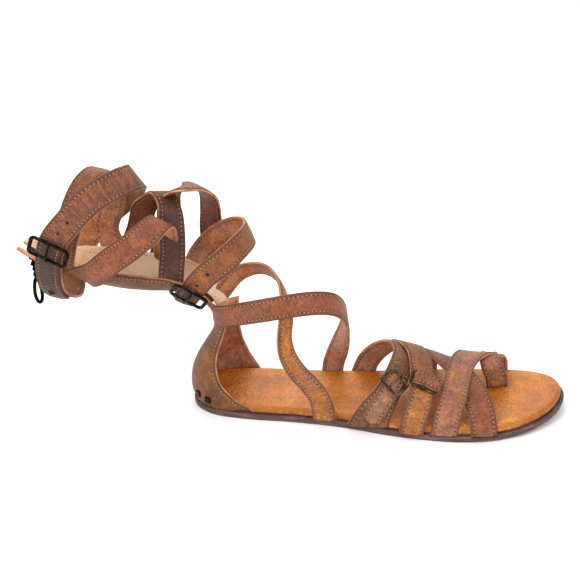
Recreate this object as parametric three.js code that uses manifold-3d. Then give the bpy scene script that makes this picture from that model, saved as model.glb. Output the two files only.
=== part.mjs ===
// Strappy calf-height gladiator sandal, right foot, standing empty with its shaft fallen back.
// Millimetres, +X to the toe, +Y to the inner (medial) side, +Z up.
// The model's origin is on the floor under the middle of the heel.
import * as THREE from 'three';
import { mergeVertices } from 'three/addons/utils/BufferGeometryUtils.js';
import Module from 'manifold-3d';

const wasm = await Module();
wasm.setup();

// ---- driving dimensions ----
const HEEL_CENTRE = 35; // from the back of the heel to the origin
const OUTSOLE_THICKNESS = 4;
const INSOLE_THICKNESS = 5.2;
const INSOLE_INSET = 2.8; // the straps pass between the insole's edge and the outsole's
const GAP = 0.3; // between pieces that meet
const LEATHER = 2.4; // a strap's two layers
const SPRING_START = 196; // where the sole begins to rise towards the toe
const SPRING_LENGTH = 60;
const TOE_SPRING = 6.5;
const STAY_RADIUS = 22; // the back stay's curve across the leg
const ZIP_HALF_WIDTH = 4.2;
const ZIP_THICKNESS = 1.6;

const RAD = Math.PI / 180;
const insoleBottom = OUTSOLE_THICKNESS + GAP;
const insoleTop = insoleBottom + INSOLE_THICKNESS;
const strapFoot = insoleBottom; // the straps' lower ends
const TUCK = 4; // a strap's route runs on below its foot, where the sole's plane cuts it level

// ---- materials ----
const leatherBrown = new THREE.MeshStandardMaterial({ color: 0x96633f, roughness: 0.55 });
const leatherMauve = new THREE.MeshStandardMaterial({ color: 0x86594a, roughness: 0.55 });
const insoleTan = new THREE.MeshStandardMaterial({ color: 0xcf8038, roughness: 0.5 });
const outsoleBrown = new THREE.MeshStandardMaterial({ color: 0x4d3535, roughness: 0.7 });
const agedBrass = new THREE.MeshStandardMaterial({ color: 0x5d5640, roughness: 0.4, metalness: 0.9 });
const blackMetal = new THREE.MeshStandardMaterial({ color: 0x1c1b1b, roughness: 0.4, metalness: 0.8 });
const zipBlack = new THREE.MeshStandardMaterial({ color: 0x201d1c, roughness: 0.7 });

// ---- solids ----
function fromTriangles(points, indices) {
  const geometry = new THREE.BufferGeometry();
  geometry.setAttribute('position', new THREE.Float32BufferAttribute(points.flatMap((p) => [p.x, p.y, p.z]), 3));
  geometry.setIndex(indices);
  return geometry;
}

function signedVolume(points, indices) {
  let volume = 0;
  for (let i = 0; i < indices.length; i += 3) {
    const [a, b, c] = [points[indices[i]], points[indices[i + 1]], points[indices[i + 2]]];
    volume += a.dot(new THREE.Vector3().crossVectors(b, c));
  }
  return volume;
}

// A closed body through rings of equal length: capped at its ends, or joined end to end.
function loft(rings, joined = false) {
  const size = rings[0].length;
  const points = rings.flat();
  const indices = [];
  const spans = joined ? rings.length : rings.length - 1;
  for (let i = 0; i < spans; i += 1) {
    const here = i * size;
    const next = ((i + 1) % rings.length) * size;
    for (let j = 0; j < size; j += 1) {
      const k = (j + 1) % size;
      indices.push(here + j, here + k, next + k, here + j, next + k, next + j);
    }
  }
  if (!joined) {
    addCap(points, indices, rings[0], 0, true);
    addCap(points, indices, rings[rings.length - 1], (rings.length - 1) * size, false);
  }
  if (signedVolume(points, indices) < 0) {
    for (let i = 0; i < indices.length; i += 3) {
      [indices[i + 1], indices[i + 2]] = [indices[i + 2], indices[i + 1]];
    }
  }
  return fromTriangles(points, indices);
}

// A cap over a ring whose first half runs out along one side and whose second half runs back.
function addCap(points, indices, ring, start, flipped) {
  const last = ring.length - 1;
  for (let j = 0; j < ring.length / 2 - 1; j += 1) {
    const quad = [start + j, start + j + 1, start + last - j - 1, start + last - j];
    const order = flipped ? [quad[0], quad[2], quad[1], quad[0], quad[3], quad[2]] : [
      quad[0], quad[1], quad[2], quad[0], quad[2], quad[3]];
    indices.push(...order);
  }
}

function toManifold(geometry) {
  const bare = geometry.clone();
  bare.deleteAttribute('normal');
  bare.deleteAttribute('uv');
  const merged = mergeVertices(bare, 1e-4);
  return new wasm.Manifold(new wasm.Mesh({
    numProp: 3,
    vertProperties: new Float32Array(merged.attributes.position.array),
    triVerts: new Uint32Array(merged.index.array),
  }));
}

function fromManifold(solid) {
  const mesh = solid.getMesh();
  const geometry = new THREE.BufferGeometry();
  geometry.setAttribute('position', new THREE.BufferAttribute(mesh.vertProperties, 3));
  geometry.setIndex(new THREE.BufferAttribute(mesh.triVerts, 1));
  return geometry;
}

function join(...geometries) {
  return fromManifold(geometries.map(toManifold).reduce((a, b) => a.add(b)));
}

function cut(geometry, tool) {
  return fromManifold(toManifold(geometry).subtract(toManifold(tool)));
}

// ---- ribbons: straps of leather ----
// A route is a list of [x, y, z, nx, ny, nz]: a point on the strap's middle line and the way its face looks.
function routeFrame(route, joined) {
  const place = new THREE.CatmullRomCurve3(route.map((p) => new THREE.Vector3(p[0], p[1], p[2])), joined);
  const facing = new THREE.CatmullRomCurve3(
    route.map((p) => new THREE.Vector3(p[3], p[4], p[5]).normalize()), joined, 'catmullrom');
  return (t) => {
    const point = place.getPoint(t);
    const tangent = place.getTangent(t);
    const normal = facing.getPoint(t);
    normal.addScaledVector(tangent, -normal.dot(tangent)).normalize();
    const across = new THREE.Vector3().crossVectors(tangent, normal);
    return { point, tangent, normal, across };
  };
}

function ribbon(route, width, { steps = 24, thickness = LEATHER, joined = false } = {}) {
  const frameAt = routeFrame(route, joined);
  const widthAt = typeof width === 'function' ? width : () => width;
  const rings = [];
  const count = joined ? steps : steps + 1;
  for (let i = 0; i < count; i += 1) {
    const t = i / steps;
    const { point, normal, across } = frameAt(t);
    const corner = (a, n) => point.clone()
      .addScaledVector(across, a * widthAt(t) / 2).addScaledVector(normal, n * thickness / 2);
    rings.push([corner(-1, 1), corner(1, 1), corner(1, -1), corner(-1, -1)]);
  }
  return loft(rings, joined);
}

// ---- sole ----
// The outsole's edge, from the back of the heel round the outer side to the toe and back.
const OUTLINE = [
  [0, 0], [4, -16], [17, -27], [38, -31.5], [75, -33], [107, -36.5], [138, -43.5], [163, -47],
  [187, -47.5], [211, -42.5], [233, -31], [249, -13], [255, 7], [250, 25], [236, 36.5], [212, 42],
  [185, 41], [155, 37], [115, 31.5], [75, 29], [38, 28.5], [17, 24.5], [4, 15],
];
const OUTLINE_STEPS = 72;

function springAt(x) {
  const past = Math.max(0, x - SPRING_START) / SPRING_LENGTH;
  return TOE_SPRING * past * past;
}

const edgeCurve = new THREE.CatmullRomCurve3(
  OUTLINE.map(([x, y]) => new THREE.Vector3(x, y, 0)), true, 'centripetal');

function edgeRing(inset, height) {
  const ring = [];
  for (let i = 0; i < OUTLINE_STEPS; i += 1) {
    const point = edgeCurve.getPoint(i / OUTLINE_STEPS);
    const tangent = edgeCurve.getTangent(i / OUTLINE_STEPS);
    point.x -= tangent.y * inset;
    point.y += tangent.x * inset;
    point.z = height + springAt(point.x);
    ring.push(point);
  }
  return ring;
}

// A slab whose caps are strips between mirrored points of the edge, so that both faces keep the spring.
function slab(levels) {
  const rings = levels.map(([inset, height]) => edgeRing(inset, height));
  return loft(rings);
}

const insoleShape = slab([
  [INSOLE_INSET, insoleBottom], [INSOLE_INSET - 0.4, insoleBottom + 1.6], [INSOLE_INSET - 0.2, insoleTop - 1.8],
  [INSOLE_INSET + 0.8, insoleTop - 0.5], [INSOLE_INSET + 2.6, insoleTop],
]);

// What the straps' feet are cut with: all below the level where they stand, and the insole's own space.
const UNDERFOOT_MARGIN = 14;
const underfoot = join(
  slab([[-UNDERFOOT_MARGIN, -2 * UNDERFOOT_MARGIN], [-UNDERFOOT_MARGIN, strapFoot]]),
  slab([
    [INSOLE_INSET - 0.4 - GAP, 0], [INSOLE_INSET - 0.4 - GAP, insoleTop - 1.6],
    [INSOLE_INSET + 0.4, insoleTop - 0.2], [INSOLE_INSET + 2.4, insoleTop + GAP],
  ]),
);

// ---- heel counter ----
// Each level: height, back of the heel, radius round the heel, outer front edge, inner front edge.
const COUNTER_LEVELS = [
  [strapFoot, 0.9, 29.5, 48, 43],
  [12, -1.4, 30.5, 35, 37],
  [24, -0.2, 30, 24.5, 32],
  [34, 4, 28.5, 21, 29],
  [43, 9.5, 26, 21, 28],
  [52, 15, 23.5, 24, 28],
  [61, 17.5, 22, 27, 29],
  [68, 17, 22, 30, 30],
];
const COUNTER_STEPS = 20;

function counterLevel(z) {
  const last = COUNTER_LEVELS.length - 1;
  let i = COUNTER_LEVELS.findIndex((level) => level[0] > z) - 1;
  if (i < -1) i = last - 1;
  i = Math.max(0, Math.min(last - 1, i));
  const [low, high] = [COUNTER_LEVELS[i], COUNTER_LEVELS[i + 1]];
  const t = (z - low[0]) / (high[0] - low[0]);
  return low.map((value, k) => value + (high[k] - value) * t);
}

// A point on the counter: length is measured round the heel from its back, minus to the outer side.
function counterPoint(z, length, depth) {
  const [, back, radius] = counterLevel(z);
  const side = Math.sign(length) || 1;
  const quarter = radius * Math.PI / 2;
  const run = Math.abs(length);
  const angle = Math.min(run, quarter) / radius;
  const past = Math.max(0, run - quarter);
  const reach = radius - depth;
  return new THREE.Vector3(
    back + radius - reach * Math.cos(angle) + past, side * reach * Math.sin(angle), z);
}

function lengthTo(x, back, radius) {
  const run = x - back;
  return run < radius ? radius * Math.acos(1 - run / radius) : radius * Math.PI / 2 + run - radius;
}

function heelCounter() {
  const rings = [];
  for (let i = 0; i <= COUNTER_STEPS; i += 1) {
    const u = (i / COUNTER_STEPS) * 2 - 1;
    const wall = (depth) => COUNTER_LEVELS.map(([z, back, radius, outerFront, innerFront]) => {
      const reach = lengthTo(u < 0 ? outerFront : innerFront, back, radius);
      return counterPoint(z, u * reach, depth);
    });
    rings.push([...wall(0), ...wall(LEATHER).reverse()]);
  }
  return loft(rings);
}

// ---- back stay and zip ----
// The stay's outer line, up the back of the leg: it leans back from the heel and lies almost level.
const STAY_LINE = [
  [18, 52], [17.6, 63], [13, 72], [4, 78], [-9, 80.8], [-26, 80.6], [-43, 81.6], [-61, 84.5],
  [-79, 89], [-97, 97], [-116, 109],
];
// How far each half of the stay reaches round the leg, in degrees, at each point of the line.
const STAY_REACH = [36, 44, 50, 60, 70, 76, 76, 76, 66, 40, 24];
const stayCurve = new THREE.CatmullRomCurve3(STAY_LINE.map(([x, z]) => new THREE.Vector3(x, 0, z)));

// A point on the stay: k counts along STAY_LINE, the angle is in degrees, plus to the inner side.
function stayFrame(k, angle, depth = 0) {
  const t = k / (STAY_LINE.length - 1);
  const along = stayCurve.getTangent(t);
  const inward = new THREE.Vector3(along.z, 0, -along.x);
  const reach = STAY_RADIUS - depth;
  const point = stayCurve.getPoint(t)
    .addScaledVector(inward, STAY_RADIUS - reach * Math.cos(angle * RAD));
  point.y += reach * Math.sin(angle * RAD);
  const normal = inward.clone().multiplyScalar(-Math.cos(angle * RAD));
  normal.y += Math.sin(angle * RAD);
  return { point, normal, along };
}

function reachAt(k) {
  const i = Math.min(STAY_REACH.length - 2, Math.floor(k));
  return STAY_REACH[i] + (STAY_REACH[i + 1] - STAY_REACH[i]) * (k - i);
}

function stayBand(fromAngle, toAngle, outer, inner, start, end, steps, across) {
  const rings = [];
  for (let i = 0; i <= steps; i += 1) {
    const k = start + (end - start) * i / steps;
    const side = (depth) => Array.from({ length: across + 1 }, (_, j) => {
      const angle = fromAngle(k) + (toAngle(k) - fromAngle(k)) * j / across;
      return stayFrame(k, angle, depth).point;
    });
    rings.push([...side(outer), ...side(inner).reverse()]);
  }
  return loft(rings);
}

const zipAngle = ZIP_HALF_WIDTH / STAY_RADIUS / RAD;
const placketAngle = (ZIP_HALF_WIDTH + GAP + 0.1) / STAY_RADIUS / RAD;
const STAY_END = 9.85;
const outerPlacket = stayBand((k) => -reachAt(k), () => -placketAngle, 0, LEATHER, 0, STAY_END, 30, 4);
const innerPlacket = stayBand(() => placketAngle, reachAt, 0, LEATHER, 0, STAY_END, 30, 4);
const ZIP_START = 1.75;
const ZIP_END = 9.6;
const zipStrip = stayBand(() => -zipAngle, () => zipAngle, 0.3, 0.3 + ZIP_THICKNESS, ZIP_START, ZIP_END, 26, 2);

// A route's end sewn to the stay, as one more point of the route.
function onStay(k, angle, depth = LEATHER / 2) {
  const { point, normal } = stayFrame(k, angle, depth);
  return [point.x, point.y, point.z, normal.x, normal.y, normal.z];
}

// ---- straps round the ankle and the shin ----
const ANKLE_WIDTH = 15.2;
const ankleStrap = [
  [18.2, -6, 66, -1, -0.35, 0], [22, -16, 69, -0.75, -0.8, 0], [35, -27, 75.5, -0.2, -1, 0.1],
  [55, -33, 82.2, 0, -1, 0.2], [78, -33, 87.3, 0.15, -1, 0.35], [93, -28, 87, 0.4, -0.85, 0.5],
  [102, -19, 81.5, 0.7, -0.5, 0.5], [106.5, -5, 67.5, 1, -0.1, 0.4], [104.5, 6, 50.5, 1, 0.5, 0.2],
  [99.5, 19, 31, 0.5, 1, 0.1], [95, 27.5, 16, 0.1, 1, 0], [92.5, 28.9, strapFoot - TUCK, 0, 1, 0],
];
const crossStrap = [
  [95.5, -34, strapFoot - TUCK, 0, -1, 0], [94.5, -35.8, 14, 0, -1, 0], [92, -37.5, 24, 0.05, -1, 0.05],
  [86, -38, 33, 0.15, -1, 0.1], [78, -37, 41.5, 0.35, -1, 0.15], [72, -35, 51, 0.7, -1, 0.1],
  [69.5, -32.5, 62, 0.9, -0.8, 0.1], [70.5, -29.5, 76, 0.9, -0.7, 0.2], [68.5, -19, 85, 1, -0.3, 0.3],
  [62.5, -4, 90.5, 0.9, 0.3, 0.45], [54, 8, 92.5, 0.5, 0.7, 0.5], [42, 17.5, 90, 0, 1, 0.45],
  [30, 20.5, 84, -0.2, 1, 0.1], onStay(1.7, 38),
];
const lowerArch = [
  onStay(2, 40), [17, 26.5, 78, 0.1, 0.8, -0.6], [14.5, 32.5, 85, 0.1, 1, -0.1], [11.5, 34, 97, 0.1, 1, 0],
  [10, 34, 110, 0.15, 1, 0.05], [11, 32.5, 123, 0.3, 1, 0.2], [12.5, 23, 139, 0.5, 0.7, 0.6],
  [8.5, 9, 149.5, 0.4, 0.3, 1], [1, 2, 151, 0, 0.1, 1], [-8, 6, 144.5, -0.5, 0.4, 0.8],
  [-14, 19, 130, -0.4, 0.9, 0.3], [-18, 27, 114, -0.1, 1, 0], onStay(4.8, 66),
];
const middleArch = [
  onStay(3.9, -54), [-6, -17, 99, 0.1, -1, 0], [-5.5, -11.5, 110, 0.2, -1, 0], [-5.5, -8, 126, 0.3, -0.9, 0.3],
  [-8, -2, 140.5, 0.5, -0.3, 0.8], [-13.5, 4, 146.5, 0.1, 0.2, 1], [-23, 12, 139.5, -0.1, 0.5, 0.8],
  [-31, 18.5, 130, -0.2, 0.9, 0.4], [-37, 23, 114, -0.1, 1, 0.1], onStay(6.2, 66),
];
const shinStrap = [
  onStay(7.6, -48), [-57, -24.5, 99, -0.1, -1, -0.1], [-42, -29.5, 111, 0, -1, 0.2],
  [-27, -30.5, 122, 0.05, -1, 0.3], [-16.5, -27.5, 130.5, 0.15, -0.9, 0.5], [-9.5, -20, 135.6, 0.3, -0.1, 0.95],
  [-9, -13, 130, 0.3, 0.9, 0.35], [-11, -7, 117, 0, 1, 0.1], [-14, 5, 102, -0.05, 1, 0.1],
  onStay(4.5, 50),
];
const upperArch = [
  onStay(8.2, -50), [-76, -22, 109, -0.1, -1, 0], [-71, -23, 124, -0.1, -1, 0.2],
  [-65.5, -19, 142, 0, -1, 0.4], [-59.5, -7, 156.5, 0, -0.6, 0.8], [-54, 7, 159.5, 0.2, 0.3, 0.9],
  [-50, 18, 149, 0.4, 0.9, 0.4], [-53, 23.5, 132, 0.1, 1, 0.1], [-60, 24.5, 113, 0, 1, 0], onStay(6.7, 66),
];

// ---- cuffs: buckled bands that close round the shin outside the stay ----
const LOWER_CUFF_WIDTH = 16;
const UPPER_CUFF_WIDTH = 18;
const lowerCuff = [
  [-1.5, 0, 76, -0.28, 0, -1], [1, -14, 79.5, -0.2, -0.6, -0.7], [8.5, -23.5, 90, 0, -1, -0.2],
  [20, -30, 104, 0.1, -1, 0.1], [31, -31.5, 113.5, 0.15, -1, 0.2], [40, -23, 120.5, 0.6, -0.7, 0.3],
  [44, -6, 122.5, 0.9, -0.1, 0.4], [40, 11, 121, 0.7, 0.6, 0.3], [29, 24, 116.5, 0.2, 1, 0.15],
  [14, 29.5, 107, 0, 1, 0], [2, 26, 93, -0.1, 1, -0.2], [-1.5, 14, 80, -0.3, 0.6, -0.7],
];
const upperCuff = [
  [-83, 0, 73.5, 0, 0, -1], [-87, -17, 85, -0.2, -0.8, -0.6], [-84, -27, 106, -0.1, -1, -0.1],
  [-78, -31, 122.5, 0, -1, 0.1], [-65, -32, 138, 0, -1, 0.25], [-49, -30, 153, 0.1, -1, 0.35],
  [-34.5, -19, 160, 0.5, -0.7, 0.5], [-28.5, -3, 159, 0.9, 0, 0.6], [-34, 15, 150.5, 0.4, 0.9, 0.4],
  [-46, 28.5, 134, 0, 1, 0.2], [-66, 32, 116.5, 0, 1, 0], [-80, 29.5, 99, -0.1, 1, 0],
  [-85, 18, 81.5, -0.1, 0.7, -0.6],
];

// ---- forefoot straps ----
const rearInstep = [
  [124, -39.4, strapFoot - TUCK, 0, -1, 0], [128, -40.5, 13, 0.1, -1, 0.2], [134.5, -35.5, 23, 0.25, -0.85, 0.6],
  [140.5, -26, 31.5, 0.35, -0.7, 0.75], [145, -13, 38, 0.4, -0.4, 0.9], [146, 1, 40.5, 0.4, 0, 1],
  [141.5, 13, 39.5, 0.2, 0.5, 0.9], [131, 23.5, 31.5, 0, 0.9, 0.6], [120, 29.5, 18, -0.1, 1, 0.2],
  [113.5, 30.4, strapFoot - TUCK, 0, 1, 0],
];
const frontInstep = [
  [153, -45, strapFoot - TUCK, 0, -1, 0.05], [155, -44, 13, 0, -1, 0.3], [158.2, -37, 23.5, 0.15, -0.85, 0.6],
  [159.5, -27, 31, 0.3, -0.65, 0.8], [158, -14, 36.8, 0.38, -0.4, 0.9], [155.5, -2, 40.6, 0.35, 0, 1],
  [150, 9, 40.8, 0.2, 0.4, 0.9], [143, 19, 36.5, 0.1, 0.8, 0.7],
];
const outerToeStrap = [
  [174, -46.6, strapFoot - TUCK, 0, -1, 0.1], [176, -42.5, 13.5, 0, -1, 0.4], [180, -31, 25.5, 0.1, -0.8, 0.7],
  [182.5, -16, 32.5, 0.2, -0.6, 0.9], [185, -3, 35, 0.25, -0.2, 1], [189, 9, 34.6, 0.25, 0.2, 1],
  [195.5, 20, 31, 0.2, 0.7, 0.8], [202, 29, 26, 0.1, 0.8, 0.6],
];
const innerToeStrap = [
  [201, -45, strapFoot - TUCK, 0.22, -1, 0.1], [199.5, -40, 12.5, 0.2, -1, 0.4], [195.5, -28.5, 21.5, 0.1, -0.8, 0.7],
  [188.5, -16, 28, 0.2, -0.6, 0.8], [180, -4, 32, 0.3, -0.3, 1], [171.5, 6.5, 33.3, 0.3, 0.1, 1],
  [165.5, 17, 31.5, 0.2, 0.6, 0.8], [161.5, 27.5, 24, 0, 0.9, 0.5], [159.5, 35, 14, 0, 1, 0.2],
  [159.5, 36.7, strapFoot - TUCK, 0, 1, 0],
];
const toeLoop = [
  [211.5, 41.1, strapFoot - TUCK, 0, 1, 0], [210.5, 38.8, 15, 0, 1, 0.3], [208, 32, 23.5, 0.1, 0.8, 0.6],
  [205, 23, 28.8, 0.2, 0.3, 1], [203.5, 15.5, 29.3, 0.3, -0.3, 1], [205.5, 11.8, 25, 0.25, -1, 0.3],
  [208.5, 11.5, 19, 0.1, -1, 0], [210, 11.5, insoleTop + GAP + 0.35, 0, -1, 0],
];
const TOE_STRAP_WIDTH = 17.5;
const THONG_WIDTH = 14.5;
// The cross strap narrows from its foot up.
const crossWidth = (t) => 12 + 4 * Math.max(0, 1 - t / 0.35);
// The rear instep strap is broad where it is sewn to the sole on the outer side.
const rearInstepWidth = (t) => 16.5 + 12.5 * Math.max(0, 1 - t / 0.3) ** 1.3;

// ---- buckles ----
// A strap's own frame at a stretch of its route, lifted off its face and turned in its plane.
function seatOn(route, t, joined, lift, turn = 0) {
  const { point, tangent, normal, across } = routeFrame(route, joined)(t);
  const basis = new THREE.Matrix4().makeBasis(tangent, across.negate(), normal);
  const seat = new THREE.Group();
  seat.position.copy(point).addScaledVector(normal, lift);
  seat.setRotationFromMatrix(basis);
  seat.rotateZ(turn * RAD);
  return seat;
}

const WIRE_SIDES = 8;

// A rectangular wire frame with round corners, flat in XY.
function wireFrame(length, width, wire, corner) {
  const rings = [];
  const cornerSteps = 3;
  const [hx, hy] = [length / 2 - corner, width / 2 - corner];
  const centres = [[hx, hy], [-hx, hy], [-hx, -hy], [hx, -hy]];
  centres.forEach(([cx, cy], quarter) => {
    for (let i = 0; i <= cornerSteps; i += 1) {
      const turn = (quarter + i / cornerSteps) * Math.PI / 2;
      const out = new THREE.Vector3(Math.cos(turn), Math.sin(turn), 0);
      rings.push(Array.from({ length: WIRE_SIDES }, (_, j) => {
        const roll = (j + 0.5) * 2 * Math.PI / WIRE_SIDES;
        return new THREE.Vector3(cx, cy, wire * Math.sin(roll))
          .addScaledVector(out, corner + wire * Math.cos(roll));
      }));
    }
  });
  return loft(rings, true);
}

// The prong: hooked round the frame's far bar, it lies along the strap and rests over the near bar.
function prongShape(reach, wire) {
  const points = [[-reach, 1.9 * wire], [-reach * 0.4, 2.3 * wire], [reach * 0.5, 2.2 * wire], [reach + 2.6, 1.2 * wire]];
  const curve = new THREE.CatmullRomCurve3(points.map(([x, z]) => new THREE.Vector3(x, 0, z)));
  const rings = [];
  for (let i = 0; i <= 8; i += 1) {
    const { x, z } = curve.getPoint(i / 8);
    rings.push(Array.from({ length: 6 }, (_, j) => {
      const roll = j * Math.PI / 3;
      return new THREE.Vector3(x, 0.75 * Math.cos(roll), z + 0.62 * Math.sin(roll));
    }));
  }
  return loft(rings);
}

function buckle(name, seat, length, width, wire) {
  const frame = new THREE.Mesh(wireFrame(length, width, wire, wire * 1.8), agedBrass);
  frame.name = `${name}_frame`;
  const prong = new THREE.Mesh(prongShape(length / 2, wire), agedBrass);
  prong.name = `${name}_prong`;
  seat.add(frame, prong);
  return seat;
}

// ---- zip slider, its pull and the small pieces ----
const SLIDER_AT = 9.27; // along STAY_LINE
const PIN_RADIUS = 0.9;
const PIN_DROP = 5.4; // the pull's pin below the zip's face

function sliderBody() {
  const plate = new THREE.BoxGeometry(9, 7.4, 2.2).translate(0, 0, -1.6);
  const cheek = (y) => new THREE.BoxGeometry(3.4, 1.1, 4.6).translate(0, y, -4.4);
  const pin = new THREE.CylinderGeometry(PIN_RADIUS, PIN_RADIUS, 5, 12).translate(0, 0, -PIN_DROP);
  return join(plate, cheek(2.1), cheek(-2.1), pin);
}

// The pull hangs from its eye: a short link, a bead, and a long drop-shaped loop.
const PULL_THICKNESS = 2;
const EYE_HOLE = PIN_RADIUS + 0.4;
const PULL_LENGTH = 30;

function pullBody() {
  const outline = new THREE.Shape();
  outline.moveTo(0, 2.2);
  outline.bezierCurveTo(2.6, 2.2, 2.8, -1.4, 1.3, -2.6);
  outline.bezierCurveTo(1.0, -3.4, 2.9, -4.2, 2.4, -5.4);
  outline.bezierCurveTo(2.1, -6.4, 1.1, -6.6, 1.1, -7.4);
  outline.bezierCurveTo(1.1, -8.2, 2.5, -8.8, 2.4, -10);
  outline.bezierCurveTo(2.2, -13, 4.2, -20, 4.3, -24);
  outline.bezierCurveTo(4.3, -29, 2.2, -PULL_LENGTH, 0, -PULL_LENGTH);
  outline.bezierCurveTo(-2.2, -PULL_LENGTH, -4.3, -29, -4.3, -24);
  outline.bezierCurveTo(-4.2, -20, -2.2, -13, -2.4, -10);
  outline.bezierCurveTo(-2.5, -8.8, -1.1, -8.2, -1.1, -7.4);
  outline.bezierCurveTo(-1.1, -6.6, -2.1, -6.4, -2.4, -5.4);
  outline.bezierCurveTo(-2.9, -4.2, -1.0, -3.4, -1.3, -2.6);
  outline.bezierCurveTo(-2.8, -1.4, -2.6, 2.2, 0, 2.2);
  const slot = new THREE.Shape();
  slot.moveTo(0, -14.5);
  slot.bezierCurveTo(0.9, -16, 1.9, -21, 1.9, -24.4);
  slot.bezierCurveTo(1.9, -28.2, -1.9, -28.2, -1.9, -24.4);
  slot.bezierCurveTo(-1.9, -21, -0.9, -16, 0, -14.5);
  const plate = (shape, depth) => new THREE.ExtrudeGeometry(shape, { depth, bevelEnabled: false, curveSegments: 5 })
    .translate(0, 0, -depth / 2).rotateX(Math.PI / 2);
  const eye = new THREE.CylinderGeometry(EYE_HOLE, EYE_HOLE, 2 * PULL_THICKNESS, 16);
  return cut(cut(plate(outline, PULL_THICKNESS), plate(slot, 2 * PULL_THICKNESS)), eye);
}

// A small square stud on the counter's face.
const STUD = 4.4;
const STUD_HEIGHT = 1.1;

function studAt(name, z, length) {
  const face = counterPoint(z, length, 0);
  const point = counterPoint(z, length, -(GAP + STUD_HEIGHT / 2));
  const outward = point.clone().sub(face).normalize();
  const side = new THREE.Vector3(-outward.y, outward.x, 0);
  const up = new THREE.Vector3().crossVectors(outward, side);
  const stud = new THREE.Mesh(new THREE.BoxGeometry(STUD, STUD, STUD_HEIGHT), blackMetal);
  stud.name = name;
  stud.position.copy(point);
  stud.setRotationFromMatrix(new THREE.Matrix4().makeBasis(side, up, outward));
  return stud;
}

// ---- assembly ----
const sandal = new THREE.Group();
sandal.position.x = -HEEL_CENTRE;

function add(name, geometry, material) {
  const mesh = new THREE.Mesh(geometry, material);
  mesh.name = name;
  sandal.add(mesh);
  return mesh;
}

add('outsole', slab([[0.5, 0], [0, 0.8], [0, OUTSOLE_THICKNESS]]), outsoleBrown);
add('insole', insoleShape, insoleTan);

add('upper', cut(join(
  heelCounter(), outerPlacket, innerPlacket,
  ribbon(ankleStrap, ANKLE_WIDTH, { steps: 36 }),
  ribbon(crossStrap, crossWidth, { steps: 40 }),
  ribbon(lowerArch, 16, { steps: 28 }),
  ribbon(middleArch, 16.5, { steps: 28 }),
  ribbon(shinStrap, 17.5, { steps: 28 }),
  ribbon(upperArch, 16.5, { steps: 26 }),
), underfoot), leatherBrown);
add('lower_cuff', ribbon(lowerCuff, LOWER_CUFF_WIDTH, { steps: 44, joined: true }), leatherMauve);
add('upper_cuff', ribbon(upperCuff, UPPER_CUFF_WIDTH, { steps: 46, joined: true }), leatherMauve);
add('instep_straps', cut(join(
  ribbon(rearInstep, rearInstepWidth, { steps: 28 }),
  ribbon(frontInstep, 16.5, { steps: 22 }),
), underfoot), leatherMauve);
add('toe_straps', cut(join(
  ribbon(outerToeStrap, TOE_STRAP_WIDTH, { steps: 22 }),
  ribbon(innerToeStrap, TOE_STRAP_WIDTH, { steps: 28 }),
  ribbon(toeLoop, THONG_WIDTH, { steps: 24 }),
), underfoot), leatherBrown);

add('zip', zipStrip, zipBlack);

const slider = add('zip_slider', sliderBody(), blackMetal);
const sliderSeat = stayFrame(SLIDER_AT, 0);
slider.position.copy(sliderSeat.point);
slider.rotation.y = Math.atan2(sliderSeat.along.z, -sliderSeat.along.x);
const pinPlace = new THREE.Vector3(0, 0, -PIN_DROP)
  .applyEuler(slider.rotation).add(sliderSeat.point);
const pull = add('zip_pull', pullBody(), blackMetal);
pull.position.copy(pinPlace);

sandal.add(buckle('lower_cuff_buckle', seatOn(lowerCuff, 1.85 / 12, true, 3.4), 12, 22.5, 1.3));
sandal.add(buckle('upper_cuff_buckle', seatOn(upperCuff, 2.75 / 13, true, 3.4), 12.5, 25, 1.3));
sandal.add(buckle('rear_instep_buckle', seatOn(rearInstep, 0.315, false, 5, -16), 11.5, 15.5, 1.1));
sandal.add(buckle('front_instep_buckle', seatOn(frontInstep, 0.42, false, 4.4, -14), 10.5, 18, 1.1));

sandal.add(studAt('heel_stud_rear', 12.5, -24));
sandal.add(studAt('heel_stud_front', 11, -33));

export default sandal;
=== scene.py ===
# Calf-height gladiator sandal, right foot: its leather, thread, metal, sole and studio.
import math

import bmesh
import bpy
from mathutils import Matrix, Vector, noise


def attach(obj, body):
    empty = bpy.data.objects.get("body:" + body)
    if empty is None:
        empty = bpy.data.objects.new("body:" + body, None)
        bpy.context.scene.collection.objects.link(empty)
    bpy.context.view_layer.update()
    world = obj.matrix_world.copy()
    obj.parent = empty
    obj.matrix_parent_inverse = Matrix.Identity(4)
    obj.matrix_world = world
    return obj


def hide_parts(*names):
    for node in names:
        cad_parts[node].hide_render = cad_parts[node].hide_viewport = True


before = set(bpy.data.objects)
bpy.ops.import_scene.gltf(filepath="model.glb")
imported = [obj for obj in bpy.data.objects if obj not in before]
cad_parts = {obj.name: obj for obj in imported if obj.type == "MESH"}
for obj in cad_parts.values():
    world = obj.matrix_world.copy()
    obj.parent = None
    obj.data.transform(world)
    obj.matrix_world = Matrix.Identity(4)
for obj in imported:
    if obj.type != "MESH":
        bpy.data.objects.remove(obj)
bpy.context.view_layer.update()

MM = 0.001
HEEL_CENTRE = 35.0  # the routes count from the back of the heel, the model from the heel's middle
BODY = "sandal"


def place(p):
    """A place in route millimetres, in the model's metres."""
    return Vector(((p.x - HEEL_CENTRE) * MM, p.y * MM, p.z * MM))


def spread(low, high, count):
    """Even steps from low to high, both included."""
    return [low + (high - low) * i / count for i in range(count + 1)]


def shown(name, data):
    """A new object in the scene."""
    item = bpy.data.objects.new(name, data)
    bpy.context.scene.collection.objects.link(item)
    return item


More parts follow.
